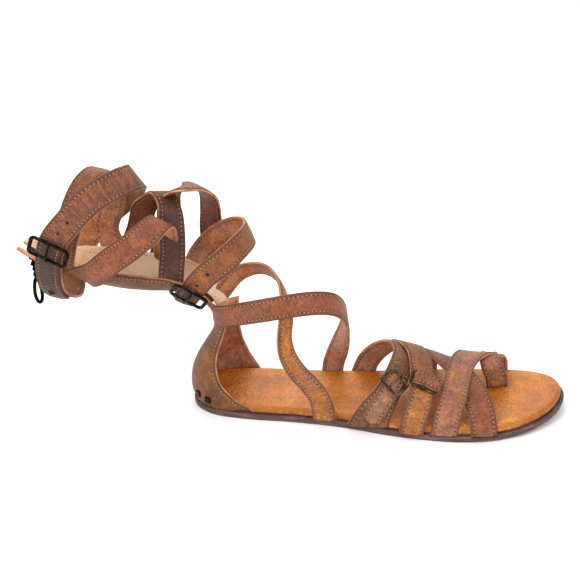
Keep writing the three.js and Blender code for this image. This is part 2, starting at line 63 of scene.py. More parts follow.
# ---------------------------------------------------------------- curves
class Route:
    """A strap's middle line and the way its face looks, through rows of x, y, z, nx, ny, nz."""

    SAMPLES = 480

    def __init__(self, rows, joined=False):
        self.points = [Vector(row[:3]) for row in rows]
        self.looks = [Vector(row[3:]).normalized() for row in rows]
        self.joined = joined
        self.steps = [0.0]
        before = self.point(0)
        for i in range(1, self.SAMPLES + 1):
            here = self.point(i / self.SAMPLES)
            self.steps.append(self.steps[-1] + (here - before).length)
            before = here
        self.length = self.steps[-1]

    def four(self, values, t):
        count = len(values)
        run = (count if self.joined else count - 1) * t
        i = min(int(math.floor(run)), count - 1 if self.joined else count - 2)
        w = run - i
        if self.joined:
            return [values[(i + k) % count] for k in (-1, 0, 1, 2)], w
        first = values[i - 1] if i > 0 else values[0] * 2 - values[1]
        last = values[i + 2] if i + 2 < count else values[-1] * 2 - values[-2]
        return [first, values[i], values[i + 1], last], w

    @staticmethod
    def hermite(a, b, ta, tb, w):
        return (a + ta * w + (a * -3 + b * 3 - ta * 2 - tb) * w * w + (a * 2 - b * 2 + ta + tb) * w ** 3)

    def point(self, t):
        (a, b, c, d), w = self.four(self.points, t)
        gaps = [max(1e-4, (q - p).length ** 0.5) for p, q in ((a, b), (b, c), (c, d))]
        g0, g1, g2 = gaps
        tb = ((b - a) / g0 - (c - a) / (g0 + g1) + (c - b) / g1) * g1
        tc = ((c - b) / g1 - (d - b) / (g1 + g2) + (d - c) / g2) * g1
        return self.hermite(b, c, tb, tc, w)

    def at(self, t):
        """Point, direction along, face normal and direction across, at 0 to 1 along the rows."""
        small = 1e-4
        low, high = (t - small, t + small) if self.joined else (max(0, t - small), min(1, t + small))
        along = (self.point(high % 1.0 if self.joined else high)
                 - self.point(low % 1.0 if self.joined else low)).normalized()
        (a, b, c, d), w = self.four(self.looks, t % 1.0 if self.joined else t)
        look = self.hermite(b, c, (c - a) * 0.5, (d - b) * 0.5, w)
        look = (look - along * look.dot(along)).normalized()
        return self.point(t % 1.0 if self.joined else t), along, look, along.cross(look)

    def row_at(self, run):
        """The 0 to 1 value at a length along the route."""
        run = max(0.0, min(self.length, run))
        low, high = 0, self.SAMPLES
        while high - low > 1:
            mid = (low + high) // 2
            if self.steps[mid] <= run:
                low = mid
            else:
                high = mid
        gap = self.steps[high] - self.steps[low]
        return (low + (run - self.steps[low]) / gap if gap > 0 else low) / self.SAMPLES

    def run_at(self, t):
        i = min(int(t * self.SAMPLES), self.SAMPLES - 1)
        return self.steps[i] + (self.steps[i + 1] - self.steps[i]) * (t * self.SAMPLES - i)


# ---------------------------------------------------------------- materials
def rgb(text):
    """A colour from its hex name, as linear values."""
    def linear(c):
        return c / 12.92 if c <= 0.04045 else ((c + 0.055) / 1.055) ** 2.4
    return tuple(linear(int(text[i:i + 2], 16) / 255) for i in (0, 2, 4)) + (1.0,)


def effect(name, inputs, outputs):
    """An empty node group with named inputs and outputs."""
    group = bpy.data.node_groups.new(name, "ShaderNodeTree")
    kinds = {"c": "NodeSocketColor", "f": "NodeSocketFloat", "v": "NodeSocketVector"}
    for label, kind in inputs:
        group.interface.new_socket(label, in_out="INPUT", socket_type=kinds[kind])
    for label, kind in outputs:
        group.interface.new_socket(label, in_out="OUTPUT", socket_type=kinds[kind])
    return group, group.nodes.new("NodeGroupInput"), group.nodes.new("NodeGroupOutput")


class Nodes:
    """Short words for making and joining nodes in one tree."""

    def __init__(self, tree):
        self.tree = tree

    def new(self, kind, **sets):
        node = self.tree.nodes.new(kind)
        for key, value in sets.items():
            setattr(node, key, value)
        return node

    def feed(self, socket, value):
        if isinstance(value, bpy.types.NodeSocket):
            self.tree.links.new(value, socket)
        elif value is not None:
            socket.default_value = value

    def fill(self, node, **values):
        """Feeds a node's inputs by their labels."""
        for label, value in values.items():
            self.feed(node.inputs[label.replace("_", " ")], value)
        return node

    def maths(self, kind, a, b=None, clamp=False):
        node = self.new("ShaderNodeMath", operation=kind, use_clamp=clamp)
        for socket, value in zip(node.inputs, (a, b)):
            self.feed(socket, value)
        return node.outputs[0]

    def times(self, a, b, clamp=False):
        return self.maths("MULTIPLY", a, b, clamp)

    def plus(self, a, b):
        return self.maths("ADD", a, b)

    def blend(self, amount, a, b, kind="MIX"):
        node = self.new("ShaderNodeMix", data_type="RGBA", blend_type=kind, clamp_result=True)
        self.feed(node.inputs["Factor"], amount)
        self.feed(node.inputs[6], a)
        self.feed(node.inputs[7], b)
        return node.outputs[2]

    def band(self, value, low, high, to_low=0.0, to_high=1.0):
        node = self.new("ShaderNodeMapRange", interpolation_type="SMOOTHSTEP")
        for socket, item in zip(node.inputs, (value, low, high, to_low, to_high)):
            self.feed(socket, item)
        return node.outputs[0]

    def noise(self, where, scale, detail=3.0, rough=0.55, distortion=0.0):
        node = self.new("ShaderNodeTexNoise")
        self.fill(node, Vector=where, Scale=scale, Detail=detail, Roughness=rough, Distortion=distortion)
        return node.outputs["Fac"]

    def cells(self, where, scale, feature="F1"):
        node = self.new("ShaderNodeTexVoronoi", feature=feature)
        return self.fill(node, Vector=where, Scale=scale).outputs["Distance"]

    def stretched(self, where, scale):
        return self.fill(self.new("ShaderNodeMapping"), Vector=where, Scale=scale).outputs[0]

    def split(self, vector):
        node = self.new("ShaderNodeSeparateXYZ")
        self.feed(node.inputs[0], vector)
        return list(node.outputs)

    def grey(self, value):
        node = self.new("ShaderNodeCombineColor")
        for socket in node.inputs:
            self.feed(socket, value)
        return node.outputs[0]

    def put(self, group, **values):
        node = self.new("ShaderNodeGroup")
        node.node_tree = group
        return self.fill(node, **values)


def hide_tone():
    """Worn hide: a base colour with greyed zones, burnished zones and fine pores."""
    group, inn, out = effect(
        "hide_tone",
        [("Where", "v"), ("Base", "c"), ("Worn", "c"), ("Burnished", "c"), ("Patch", "f"), ("Wear", "f"),
         ("Burnish", "f"), ("Grain", "f")],
        [("Color", "c"), ("Roughness", "f"), ("Height", "f")])
    n = Nodes(group)
    where, patch, grain = inn.outputs["Where"], inn.outputs["Patch"], inn.outputs["Grain"]
    broad = n.noise(where, patch, 4.0, 0.62, 0.4)
    shifted = n.new("ShaderNodeVectorMath", operation="ADD")
    n.feed(shifted.inputs[0], where)
    shifted.inputs[1].default_value = (3.7, 1.9, 5.3)
    second = n.noise(shifted.outputs[0], n.times(patch, 1.6), 5.0, 0.6, 0.6)
    cloud = n.noise(where, n.times(patch, 3.2), 6.0, 0.6, 0.8)
    worn = n.times(n.band(broad, 0.42, 0.60), inn.outputs["Wear"], clamp=True)
    burnt = n.times(n.band(second, 0.47, 0.66), inn.outputs["Burnish"], clamp=True)
    colour = n.blend(worn, inn.outputs["Base"], inn.outputs["Worn"])
    colour = n.blend(burnt, colour, inn.outputs["Burnished"])
    tint = n.band(cloud, 0.30, 0.72, 0.70, 1.26)
    colour = n.blend(1.0, colour, n.grey(tint), "MULTIPLY")
    pores = n.cells(where, grain, "SMOOTH_F1")
    fine = n.noise(where, n.times(grain, 1.7), 3.0, 0.6)
    height = n.plus(n.times(pores, 0.8), n.times(fine, 0.5))
    shade = n.band(height, 0.25, 0.85, 0.68, 1.22)
    colour = n.blend(1.0, colour, n.grey(shade), "MULTIPLY")
    rough = n.plus(n.band(cloud, 0.3, 0.7, 0.46, 0.60), n.times(worn, 0.08))
    n.fill(out, Color=colour, Roughness=rough, Height=height)
    return group


STITCH = 2.7  # millimetres from one stitch to the next
SEAM_IN = 2.3  # millimetres from a strap's edge to its seam


def seam_marks_and_shade():
    """Painted shade in needle holes, along a seam's pulled-in groove and in a band at the edge, with their
    dents, from lengths along and in.
    """
    group, inn, out = effect(
        "seam_marks_and_shade", [("Run", "v"), ("Color", "c"), ("Edge", "f")], [("Color", "c"), ("Height", "f")])
    n = Nodes(group)
    along, inward, _ = n.split(inn.outputs["Run"])
    off = n.maths("ABSOLUTE", n.maths("SUBTRACT", inward, SEAM_IN * MM))
    gap = n.maths("PINGPONG", along, STITCH * MM / 2)
    far = n.maths("SQRT", n.plus(n.times(gap, gap), n.times(off, off)))
    # painted shade: hole makes the needle holes near-black, line darkens the seam's groove, rim is a dark band
    # along the strap's edge
    hole = n.band(far, 0.18 * MM, 0.55 * MM, 1.0, 0.0)
    line = n.band(off, 0.3 * MM, 1.2 * MM, 1.0, 0.0)
    rim = n.times(n.band(inward, 0.3 * MM, 2.2 * MM, 1.0, 0.0), inn.outputs["Edge"])
    colour = n.blend(n.times(line, 0.35), inn.outputs["Color"], rgb("5c3422"))
    colour = n.blend(n.times(hole, 0.9), colour, rgb("2a1510"))
    colour = n.blend(rim, colour, rgb("4e2c1e"))
    n.fill(out, Color=colour, Height=n.times(n.plus(hole, n.times(line, 0.5)), -1.0))
    return group


def creasing():
    """Soft folds that run across a strap, from lengths along and in."""
    group, inn, out = effect("creasing", [("Run", "v"), ("Amount", "f")], [("Height", "f"), ("Shade", "f")])
    n = Nodes(group)
    amount = inn.outputs["Amount"]
    folds = n.noise(n.stretched(inn.outputs["Run"], (1.0, 0.28, 1.0)), 420.0, 3.0, 0.5, 1.2)
    ridge = n.band(folds, 0.40, 0.62)
    n.fill(out, Height=n.times(ridge, amount),
           Shade=n.times(n.maths("SUBTRACT", 1.0, ridge), n.times(amount, 0.35)))
    return group


HIDE = hide_tone()
MARKS = seam_marks_and_shade()
FOLDS = creasing()


def blank(name):
    """A material with one Principled shader: the material, its nodes, the shader and object coordinates."""
    material = bpy.data.materials.new(name)
    material.use_nodes = True
    tree = material.node_tree
    tree.nodes.clear()
    n = Nodes(tree)
    out = n.new("ShaderNodeOutputMaterial")
    shader = n.new("ShaderNodeBsdfPrincipled")
    n.feed(out.inputs["Surface"], shader.outputs[0])
    where = n.new("ShaderNodeTexCoord").outputs["Object"]
    return material, n, shader, where


def bumped(n, shader, height, distance, strength):
    """Gives a shader its bump from a height."""
    bump = n.fill(n.new("ShaderNodeBump"), Strength=strength, Distance=distance, Height=height)
    n.feed(shader.inputs["Normal"], bump.outputs[0])


def leather(name, base, worn, burnished, wear=0.8, burnish=0.7, patch=34.0, grain=640.0, seams=True,
            creases=0.0, edge=0.8, deep=1.1):
    """Strap leather with its grain, worn and burnished zones, seam marks, and painted shade in its seams and
    along its edges (edge).
    """
    material, n, shader, where = blank(name)
    tone = n.put(HIDE, Where=where, Base=rgb(base), Worn=rgb(worn), Burnished=rgb(burnished), Patch=patch,
                 Wear=wear, Burnish=burnish, Grain=grain)
    colour = tone.outputs["Color"]
    height = n.times(tone.outputs["Height"], deep)
    if seams:
        run = n.new("ShaderNodeUVMap", uv_map="run").outputs[0]
        if creases:
            folds = n.put(FOLDS, Run=run, Amount=creases)
            colour = n.blend(folds.outputs["Shade"], colour, rgb("4a2a20"))
            height = n.plus(height, folds.outputs["Height"])
        # edge: the strength of the painted shade along the strap's edges
        marks = n.put(MARKS, Run=run, Color=colour, Edge=edge)
        colour = marks.outputs["Color"]
        height = n.plus(height, n.times(marks.outputs["Height"], 0.8))
    n.fill(shader, Base_Color=colour, Roughness=tone.outputs["Roughness"], Specular_IOR_Level=0.32,
           Coat_Weight=0.05, Coat_Roughness=0.42)
    bumped(n, shader, height, 0.5 * MM, 0.8)
    return material


def thread(name, colour):
    material, n, shader, where = blank(name)
    ply = n.noise(where, 2600.0, 2.0)
    dirt = n.noise(where, 90.0, 3.0)
    shade = n.blend(n.band(dirt, 0.4, 0.7, 0.0, 0.55), rgb(colour), rgb("8a6446"))
    n.fill(shader, Base_Color=shade, Roughness=0.75)
    bumped(n, shader, ply, 0.1 * MM, 0.6)
    return material


def metal(name, base, rubbed, rough, amount):
    """Metal with a dark patina that is rubbed through in places."""
    material, n, shader, where = blank(name)
    patches = n.noise(where, 260.0, 5.0, 0.65)
    scratches = n.noise(where, 1500.0, 3.0, 0.6)
    mask = n.times(n.band(patches, 0.46, 0.66), amount)
    n.fill(shader, Base_Color=n.blend(mask, rgb(base), rgb(rubbed)), Metallic=1.0,
           Roughness=n.band(scratches, 0.3, 0.7, rough - 0.08, rough + 0.14))
    bumped(n, shader, scratches, 0.05 * MM, 0.4)
    return material


def plain(name, base, dark, rough=0.6, scale=600.0, depth=0.2):
    """A dull surface with fine uneven texture."""
    material, n, shader, where = blank(name)
    broad = n.noise(where, scale * 0.08, 4.0, 0.6)
    fine = n.noise(where, scale, 3.0, 0.6)
    n.fill(shader, Base_Color=n.blend(n.band(broad, 0.35, 0.68), rgb(base), rgb(dark)),
           Roughness=n.band(fine, 0.3, 0.7, rough - 0.06, rough + 0.1))
    bumped(n, shader, fine, depth * MM, 0.6)
    return material


brown = leather("strap_leather_brown", "7f4529", "714637", "8f5321", wear=0.75, burnish=0.45)
russet = leather("cuff_leather_russet", "80461f", "6e3f28", "955a20", wear=0.6, burnish=0.7)
tan = leather("strap_leather_tan", "a0602b", "8c5a40", "b07024", wear=0.55, burnish=0.8)
mauve = leather("strap_leather_mauve", "8f5a40", "87604c", "a5682c", wear=0.9, burnish=0.5)
creased = leather("strap_leather_creased", "8c5034", "724636", "a0602e", wear=0.7, burnish=0.4, creases=1.5)
# a darker copy of the brown strap leather: painted shade for the middle arch, which lies in shade
shaded = leather("strap_leather_shaded", "55301f", "452b22", "6c4022", wear=0.7, burnish=0.3)
# near-black brown: painted shade for the cuff tabs, whose faces turn down and back into shade
shaded_tab_hide = leather("buckle_tab_leather_shaded", "3a221a", "4a2e24", "2a1812", wear=0.6, burnish=0.5, creases=0.5)
# the stay's own brown, darkened halfway to the shaded copy: partly its colour, partly painted shade
stay_hide = leather("stay_leather_partly_shaded", "6e3e26", "5a3628", "84502a", wear=0.7, burnish=0.4)
counter_hide = leather("counter_leather", "74441f", "54301f", "8c5420", wear=0.8, burnish=0.6, patch=30.0)
textured = leather("base_leather_textured", "6e432a", "523629", "8a5a2e", wear=0.8, burnish=0.7, patch=90.0,
                   grain=650.0, deep=0.8)
lining = leather("strap_lining", "b06f45", "ad7b62", "a5602a", wear=0.6, burnish=0.5, grain=700.0, edge=0.25,
                 deep=0.5)
pink_lining = leather("instep_lining", "bb8a70", "c09482", "a87450", wear=0.6, burnish=0.4, grain=600.0,
                      edge=0.25, deep=0.8)
pale_lining = leather("counter_lining", "a9684a", "b58068", "985628", wear=0.8, burnish=0.35, grain=560.0,
                      edge=0.2, deep=0.6)
cream_lining = plain("stay_lining_cream", "ecd2b2", "cfa070", rough=0.62, scale=420.0, depth=0.15)
cut_edge = plain("cut_edge", "c48a60", "98603a", rough=0.75, scale=1400.0)
# painted shade on the cuff tabs' cut edges
shaded_edge = plain("shaded_tab_edge", "4c2d20", "331d15", rough=0.6, scale=1400.0)
cream_thread = thread("thread_cream", "b8916a")
brown_thread = thread("thread_brown", "8c5a3c")
antique = metal("antique_brass", "3c3428", "8f7a54", 0.34, 0.6)
gunmetal = metal("blackened_metal", "17130f", "4a4038", 0.38, 0.45)
black = metal("black_enamel", "0c0c0d", "2c2c2e", 0.33, 0.35)
# near-black: painted shade for the inside of punched holes
hole_shade = plain("punched_hole_shade", "1a0e0a", "120906", rough=0.9, scale=900.0)
tape = plain("zip_tape", "1b1817", "0f0e0e", rough=0.85, scale=1800.0, depth=0.3)


# ---------------------------------------------------------------- making meshes
def keep(bm, name, materials, smooth=True, body=BODY):
    """Finishes a bmesh as a piece that rides on a body."""
    for face in bm.faces:
        face.smooth = smooth
    mesh = bpy.data.meshes.new(name)
    bm.to_mesh(mesh)
    bm.free()
    for material in materials:
        mesh.materials.append(material)
    piece = shown(name, mesh)
    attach(piece, body)
    return piece


def bent_grid(columns, spans, slot_of, run_of, spot_of):
    """A grid bent into shape. Rules give a column's face slot, and a vertex's lengths and its place."""
    bm = bmesh.new()
    uv = bm.loops.layers.uv.new("run")
    bmesh.ops.create_grid(bm, x_segments=columns, y_segments=spans, size=0.5, calc_uvs=False)
    cells = {v: (round((v.co.x + 0.5) * columns), round((v.co.y + 0.5) * spans)) for v in bm.verts}
    for face in bm.faces:
        face.material_index = slot_of(min(cells[loop.vert][0] for loop in face.loops))
        for loop in face.loops:
            length, inward = run_of(*cells[loop.vert])
            loop[uv].uv = (length * MM, inward * MM)
    for vertex, cell in cells.items():
        vertex.co = place(spot_of(*cell))
    return bm


def wrapped(name, section, stations, spot, run, materials, joined=False):
    """A closed body: a grid wrapped round a section and laid along stations.

    section is a list of (anything, face slot); spot(item, station) gives a place in route millimetres,
    run(item, station, row) gives millimetres along and in from the nearest edge.
    """
    around, rows = len(section), len(stations)
    bm = bent_grid(around, rows if joined else rows - 1, lambda i: section[i][1],
                   lambda i, j: run(section[i % around][0], stations[j % rows], j),
                   lambda i, j: spot(section[i % around][0], stations[j % rows]))
    bmesh.ops.remove_doubles(bm, verts=bm.verts, dist=1e-7)
    if not joined:
        ends = [edge for edge in bm.edges if edge.is_boundary]
        made = bmesh.ops.holes_fill(bm, edges=ends, sides=0)
        for face in made["faces"]:
            face.material_index = 1
    bmesh.ops.recalc_face_normals(bm, faces=bm.faces)
    return keep(bm, name, materials)


THICK = 2.4  # the straps' leather


def strap_section(thick, crown=0.2):
    """Round a strap: (side, in from the edge, share of the rest, lift) with its face slot."""
    top = thick / 2
    outer = [(0.1, 1, top - 0.55), (0.45, 1, top - 0.14), (1.2, 1, top + 0.02), (1.9, 1, top - 0.02),
             (2.3, 1, top - 0.22), (2.7, 1, top), (3.6, 1, top + crown * 0.7), (3.6, 0.5, top + crown)]
    inner = [(0.1, 1, -top + 0.5), (0.5, 1, -top + 0.1), (1.9, 1, -top), (2.3, 1, -top + 0.14),
             (2.8, 1, -top), (3.6, 0.5, -top)]
    ring = [((-1,) + item, 0) for item in outer] + [((1, 3.6, 0, top + crown), 0)]
    ring += [((1,) + item, 0) for item in reversed(outer)]
    ring += [((1, 0, 1, 0.3), 1), ((1, 0, 1, -0.3), 1)]
    ring += [((1,) + item, 2) for item in inner] + [((1, 3.6, 0, -top), 2)]
    ring += [((-1,) + item, 2) for item in reversed(inner)]
    ring += [((-1, 0, 1, -0.3), 1), ((-1, 0, 1, 0.3), 1)]
    fixed = []
    for k, (item, face_slot) in enumerate(ring):
        following = ring[(k + 1) % len(ring)][1]
        fixed.append((item, 1 if 1 in (face_slot, following) else face_slot))
    return fixed


SOLE_LEVEL = 4.2  # no strap goes lower: it ends just above the outsole
WAVE = 0.35  # how far worn leather wanders off its line
STRAP_STEP = 2.2  # from one row of a strap's faces to the next


def drift_at(name, point, where):
    """How far a strap wanders off its route at a place, given the nearest point of its middle line."""
    far = Vector((len(name), 0, 0))
    turned = Vector((0, len(name), 0))
    return noise.noise(point * 0.05 + far) * WAVE + noise.noise(where * 0.11 + turned) * WAVE * 0.5


def strap(name, route, width, face=brown, back=lining, edge=cut_edge, slot="leather_brown", start=0.0, end=1.0,
          lift=0.0, thick=THICK, tips=(), floor=True):
    """A strap of two layers along a route. width is a rule of the length along, tips are (run, kind, size)."""
    low, high = route.run_at(start), route.run_at(end)
    count = max(4, round((high - low) / STRAP_STEP))
    stations = spread(0.0, route.length, count)[:-1] if route.joined else spread(low, high, count)
    framed = {run: route.at(route.row_at(run)) for run in stations}

    def half_at(run):
        half = width(run) / 2
        for end_run, kind, size in tips:
            share = abs(run - end_run) / size
            if share < 1:
                half *= math.sqrt(max(0.02, 1 - (1 - share) ** 2)) if kind == "round" else 0.12 + 0.88 * share
        return half

    def spot(item, run):
        side, inward, share, height = item
        point, _, look, across = framed[run]
        half = half_at(run)
        inward = min(inward, half * 0.8)
        off = side * (half - inward) * share
        where = point + across * off + look * (height + lift)
        where += look * drift_at(name, point, where)
        if floor:
            where.z = max(where.z, SOLE_LEVEL)
        return where

    def run_in(item, run, j):
        side, inward, share, _ = item
        half = half_at(run)
        length = route.length * j / count if route.joined else run
        return length, half - (half - min(inward, half * 0.8)) * share

    return wrapped(name, strap_section(thick), stations, spot, run_in, [face, edge, back], route.joined)


HALF_STITCH, HALF_THREAD = 0.92, 0.27  # half of a stitch's length and width
THREAD_SUNK = 0.12  # how far a stitch sits in a strap's face


class Sewing:
    """Gathers the stitches of many seams into one piece."""

    def __init__(self):
        self.bm = bmesh.new()

    def one(self, centre, along, out):
        side = along.cross(out).normalized() * HALF_THREAD
        turn = Matrix((along * HALF_STITCH * MM, side * MM, out * HALF_THREAD * 0.8 * MM)).transposed().to_4x4()
        turn.translation = place(centre)
        bmesh.ops.create_icosphere(self.bm, subdivisions=1, radius=1.0, matrix=turn)

    def strap(self, name, route, width, start, end, lift, thick, faces):
        """The two seams of a strap, on its face (1) and its back (-1)."""
        low, high = route.run_at(start), route.run_at(end)
        for k in range(math.ceil(low / STITCH), int(high / STITCH)):
            run = (k + 0.5) * STITCH
            if run > high - 1:
                break
            point, along, look, across = route.at(route.row_at(run))
            for side in (-1, 1):
                off = point + across * side * (width(run) / 2 - SEAM_IN)
                if off.z < SOLE_LEVEL + 1.5:
                    continue
                drift = drift_at(name, point, off)
                for face in faces:
                    height = lift + drift + face * (thick / 2 - (THREAD_SUNK if face > 0 else 0.0))
                    self.one(off + look * height, along, look * face)

    def path(self, places):
        """Stitches along a line of places, each with its way out."""
        runs = [0.0]
        for (a, _), (b, _) in zip(places, places[1:]):
            runs.append(runs[-1] + (b - a).length)
        run, i = STITCH / 2, 0
        while run < runs[-1]:
            while runs[i + 1] < run:
                i += 1
            w = (run - runs[i]) / (runs[i + 1] - runs[i])
            (a, out_a), (b, out_b) = places[i:i + 2]
            self.one(a.lerp(b, w), (b - a).normalized(), out_a.lerp(out_b, w).normalized())
            run += STITCH

    def finish(self, name, material, slot):
        return keep(self.bm, name, [material])


# ---------------------------------------------------------------- sole
OUTLINE = [
    (0, 0), (4, -16), (17, -27), (38, -31.5), (75, -33), (107, -36.5), (138, -43.5), (163, -47),
    (187, -47.5), (211, -42.5), (233, -31), (249, -13), (255, 7), (250, 25), (236, 36.5), (212, 42),
    (185, 41), (155, 37), (115, 31.5), (75, 29), (38, 28.5), (17, 24.5), (4, 15),
]
edge_line = Route([(x, y, 0, 0, 0, 1) for x, y in OUTLINE], joined=True)
SPRING_START, SPRING_LENGTH, TOE_SPRING = 196, 60, 6.5
EDGE_STEPS = 220
SOLE_HALF = 30  # about half the sole's width
DISH_REACH = 14  # how far in from its rim the footbed goes on sinking


def spring(x):
    past = max(0.0, x - SPRING_START) / SPRING_LENGTH
    return TOE_SPRING * past * past


edge_frames = [edge_line.at(edge_line.row_at(run)) for run in spread(0.0, edge_line.length, EDGE_STEPS)[:-1]]


def rim_at(i, inset):
    point, along, _, _ = edge_frames[i % EDGE_STEPS]
    return point + Vector((-along.y, along.x, 0)) * inset


def sole_piece(name, profile, materials, dish=0.0):
    """A sole's layer. Its profile: in from the edge, share of the way to the middle line, height, face slot."""
    def spot(item, i):
        inset, share, height, _ = item
        rim, other = rim_at(i, inset), rim_at(EDGE_STEPS - i, inset)
        where = rim.lerp(other, share / 2)
        in_from_rim = min(1.0, (where - rim).length / DISH_REACH)
        where.z = height + spring(where.x) - dish * in_from_rim ** 2 * (3 - 2 * in_from_rim)
        return where

    bm = bent_grid(len(profile) - 1, EDGE_STEPS, lambda i: profile[i][3],
                   lambda i, j: (edge_line.length * j / EDGE_STEPS, profile[i][0] + profile[i][1] * SOLE_HALF),
                   lambda i, j: spot(profile[i], j % EDGE_STEPS))
    bmesh.ops.remove_doubles(bm, verts=bm.verts, dist=2e-6)
    ends = [edge for edge in bm.edges if edge.is_boundary]
    if ends:
        bmesh.ops.holes_fill(bm, edges=ends, sides=0)
    bmesh.ops.dissolve_degenerate(bm, edges=bm.edges, dist=1e-6)
    bmesh.ops.recalc_face_normals(bm, faces=bm.faces)
    return keep(bm, name, materials)


def footbed_hide():
    """Padded orange-tan footbed leather: pebbled, polished by wear, darker at its rim."""
    material, n, shader, where = blank("footbed_leather")
    tone = n.put(HIDE, Where=where, Base=rgb("c4741c"), Worn=rgb("b26216"), Burnished=rgb("d8913a"), Patch=14.0,
                 Wear=0.7, Burnish=0.6, Grain=900.0)
    pebble = n.cells(where, 620.0)
    _, inward, _ = n.split(n.new("ShaderNodeUVMap", uv_map="run").outputs[0])
    rim = n.band(inward, 2.0 * MM, 6.0 * MM, 0.55, 0.0)
    colour = n.blend(rim, tone.outputs["Color"], rgb("8e4c14"))
    pits = n.band(pebble, 0.25, 0.75, 0.0, 0.38)
    colour = n.blend(pits, colour, rgb("8e4a12"))
    n.fill(shader, Base_Color=colour, Roughness=n.band(tone.outputs["Height"], 0.3, 0.8, 0.36, 0.5),
           Specular_IOR_Level=0.3, Coat_Weight=0.08, Coat_Roughness=0.35)
    height = n.maths("SUBTRACT", n.times(tone.outputs["Height"], 0.4), pebble)
    bumped(n, shader, height, 0.5 * MM, 1.0)
    return material


def sole_rubber():
    """Dark mauve-brown sole edge, scuffed lighter in streaks along its length."""
    material, n, shader, where = blank("outsole_rubber")
    streaks = n.noise(n.stretched(where, (0.3, 0.3, 3.0)), 160.0, 5.0, 0.65)
    fine = n.noise(where, 1500.0, 3.0)
    colour = n.blend(n.band(streaks, 0.45, 0.68, 0.0, 0.8), rgb("4a3232"), rgb("7a5a55"))
    n.fill(shader, Base_Color=colour, Roughness=n.band(fine, 0.3, 0.7, 0.55, 0.75))
    bumped(n, shader, n.plus(fine, streaks), 0.15 * MM, 0.6)
    return material


footbed = footbed_hide()
rubber = sole_rubber()
footbed_rim = leather("footbed_rim", "b06c30", "945628", "c58440", wear=0.7, burnish=0.5, seams=False,
                      grain=700.0)

outsole = sole_piece("outsole_body", [
    (0.6, 1.0, 0.0, 0), (0.6, 0.6, 0.0, 0), (3.0, 0.0, 0.0, 0), (1.0, 0.0, 0.0, 0), (0.35, 0.0, 0.25, 0),
    (0.1, 0.0, 0.9, 0), (0.0, 0.0, 1.7, 0), (0.25, 0.0, 2.0, 0), (0.0, 0.0, 2.3, 0), (0.0, 0.0, 3.3, 0),
    (0.25, 0.0, 3.8, 0), (0.7, 0.0, 4.0, 0), (2.0, 0.0, 4.0, 0), (2.0, 0.6, 4.0, 0), (2.0, 1.0, 4.0, 0),
], [rubber])
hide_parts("outsole")

insole = sole_piece("footbed", [
    (3.4, 1.0, 4.35, 1), (3.4, 0.5, 4.35, 1), (3.4, 0.0, 4.35, 1), (2.9, 0.0, 4.5, 1), (2.55, 0.0, 5.2, 1),
    (2.5, 0.0, 6.2, 1), (2.6, 0.0, 7.2, 0), (2.9, 0.0, 8.1, 0), (3.5, 0.0, 8.8, 0), (4.4, 0.0, 9.25, 0),
    (5.6, 0.0, 9.42, 0), (7.0, 0.0, 9.42, 0), (7.0, 0.12, 9.42, 0), (7.0, 0.28, 9.42, 0), (7.0, 0.5, 9.42, 0),
    (7.0, 0.75, 9.42, 0), (7.0, 1.0, 9.42, 0),
], [footbed, footbed_rim], dish=1.4)
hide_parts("insole")

# ---------------------------------------------------------------- heel counter
COUNTER = [  # height, back of the heel, radius, outer front edge, inner front edge
    (4.3, 0.9, 29.5, 48, 43), (12, -1.4, 30.5, 35, 37), (24, -0.2, 30, 24.5, 32), (34, 4, 28.5, 21, 29),
    (43, 9.5, 26, 21, 28), (52, 15, 23.5, 24, 28), (61, 17.5, 22, 27, 29), (68, 17, 22, 30, 30),
]


def smooth_row(z):
    """The counter's measures at a height, eased between its levels."""
    last = len(COUNTER) - 1
    i = max(0, min(last - 1, next((k for k, row in enumerate(COUNTER) if row[0] > z), last) - 1))
    w = (z - COUNTER[i][0]) / (COUNTER[i + 1][0] - COUNTER[i][0])
    out = []
    for k in range(1, 5):
        a, b = COUNTER[i][k], COUNTER[i + 1][k]
        before = COUNTER[i - 1][k] if i > 0 else 2 * a - b
        after = COUNTER[i + 2][k] if i + 2 <= last else 2 * b - a
        ta, tb = (b - before) / 2, (after - a) / 2
        out.append(Route.hermite(a, b, ta, tb, w))
    return out


def length_to(x, back, radius):
    run = x - back
    return radius * math.acos(1 - run / radius) if run < radius else radius * math.pi / 2 + run - radius


def counter_spot(z, length, depth):
    back, radius, _, _ = smooth_row(z)
    side = -1 if length < 0 else 1
    quarter = radius * math.pi / 2
    angle = min(abs(length), quarter) / radius
    past = max(0.0, abs(length) - quarter)
    reach = radius - depth
    return Vector((back + radius - reach * math.cos(angle) + past, side * reach * math.sin(angle), z))


def counter_reach(z, u):
    back, radius, outer, inner = smooth_row(z)
    return length_to(outer if u < 0 else inner, back, radius) * u


def counter_out(z, length):
    return (counter_spot(z, length, 0) - counter_spot(z, length, 1)).normalized()


TOP, BOTTOM = 68.0, 4.3
levels = spread(BOTTOM, TOP, 22)
section = [((z, 0.0), 0) for z in levels[:-1]] + [((TOP - 0.4, 0.0), 0), ((TOP, 0.6), 1), ((TOP, 1.8), 1)]
section += [((z, THICK), 2) for z in reversed(levels[:-1])] + [((BOTTOM, THICK / 2), 1)]


def counter_place(item, u):
    z, depth = item
    ease = 0.5 * (abs(u) > 0.985) * (1 if depth < THICK / 2 else -1)
    return counter_spot(z, counter_reach(z, u), depth + ease)


def counter_run(item, u, j):
    z, _ = item
    reach = abs(counter_reach(z, math.copysign(1, u)))
    return (z if abs(u) > 0.8 else u * 60), min(TOP - z, reach * (1 - abs(u)))


edge_to_edge = [u or 1e-6 for u in spread(-1, 1, 64)]  # outer front edge to inner front edge
counter = wrapped("heel_counter", section, edge_to_edge, counter_place, counter_run,
                  [counter_hide, cut_edge, pale_lining])
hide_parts("upper")

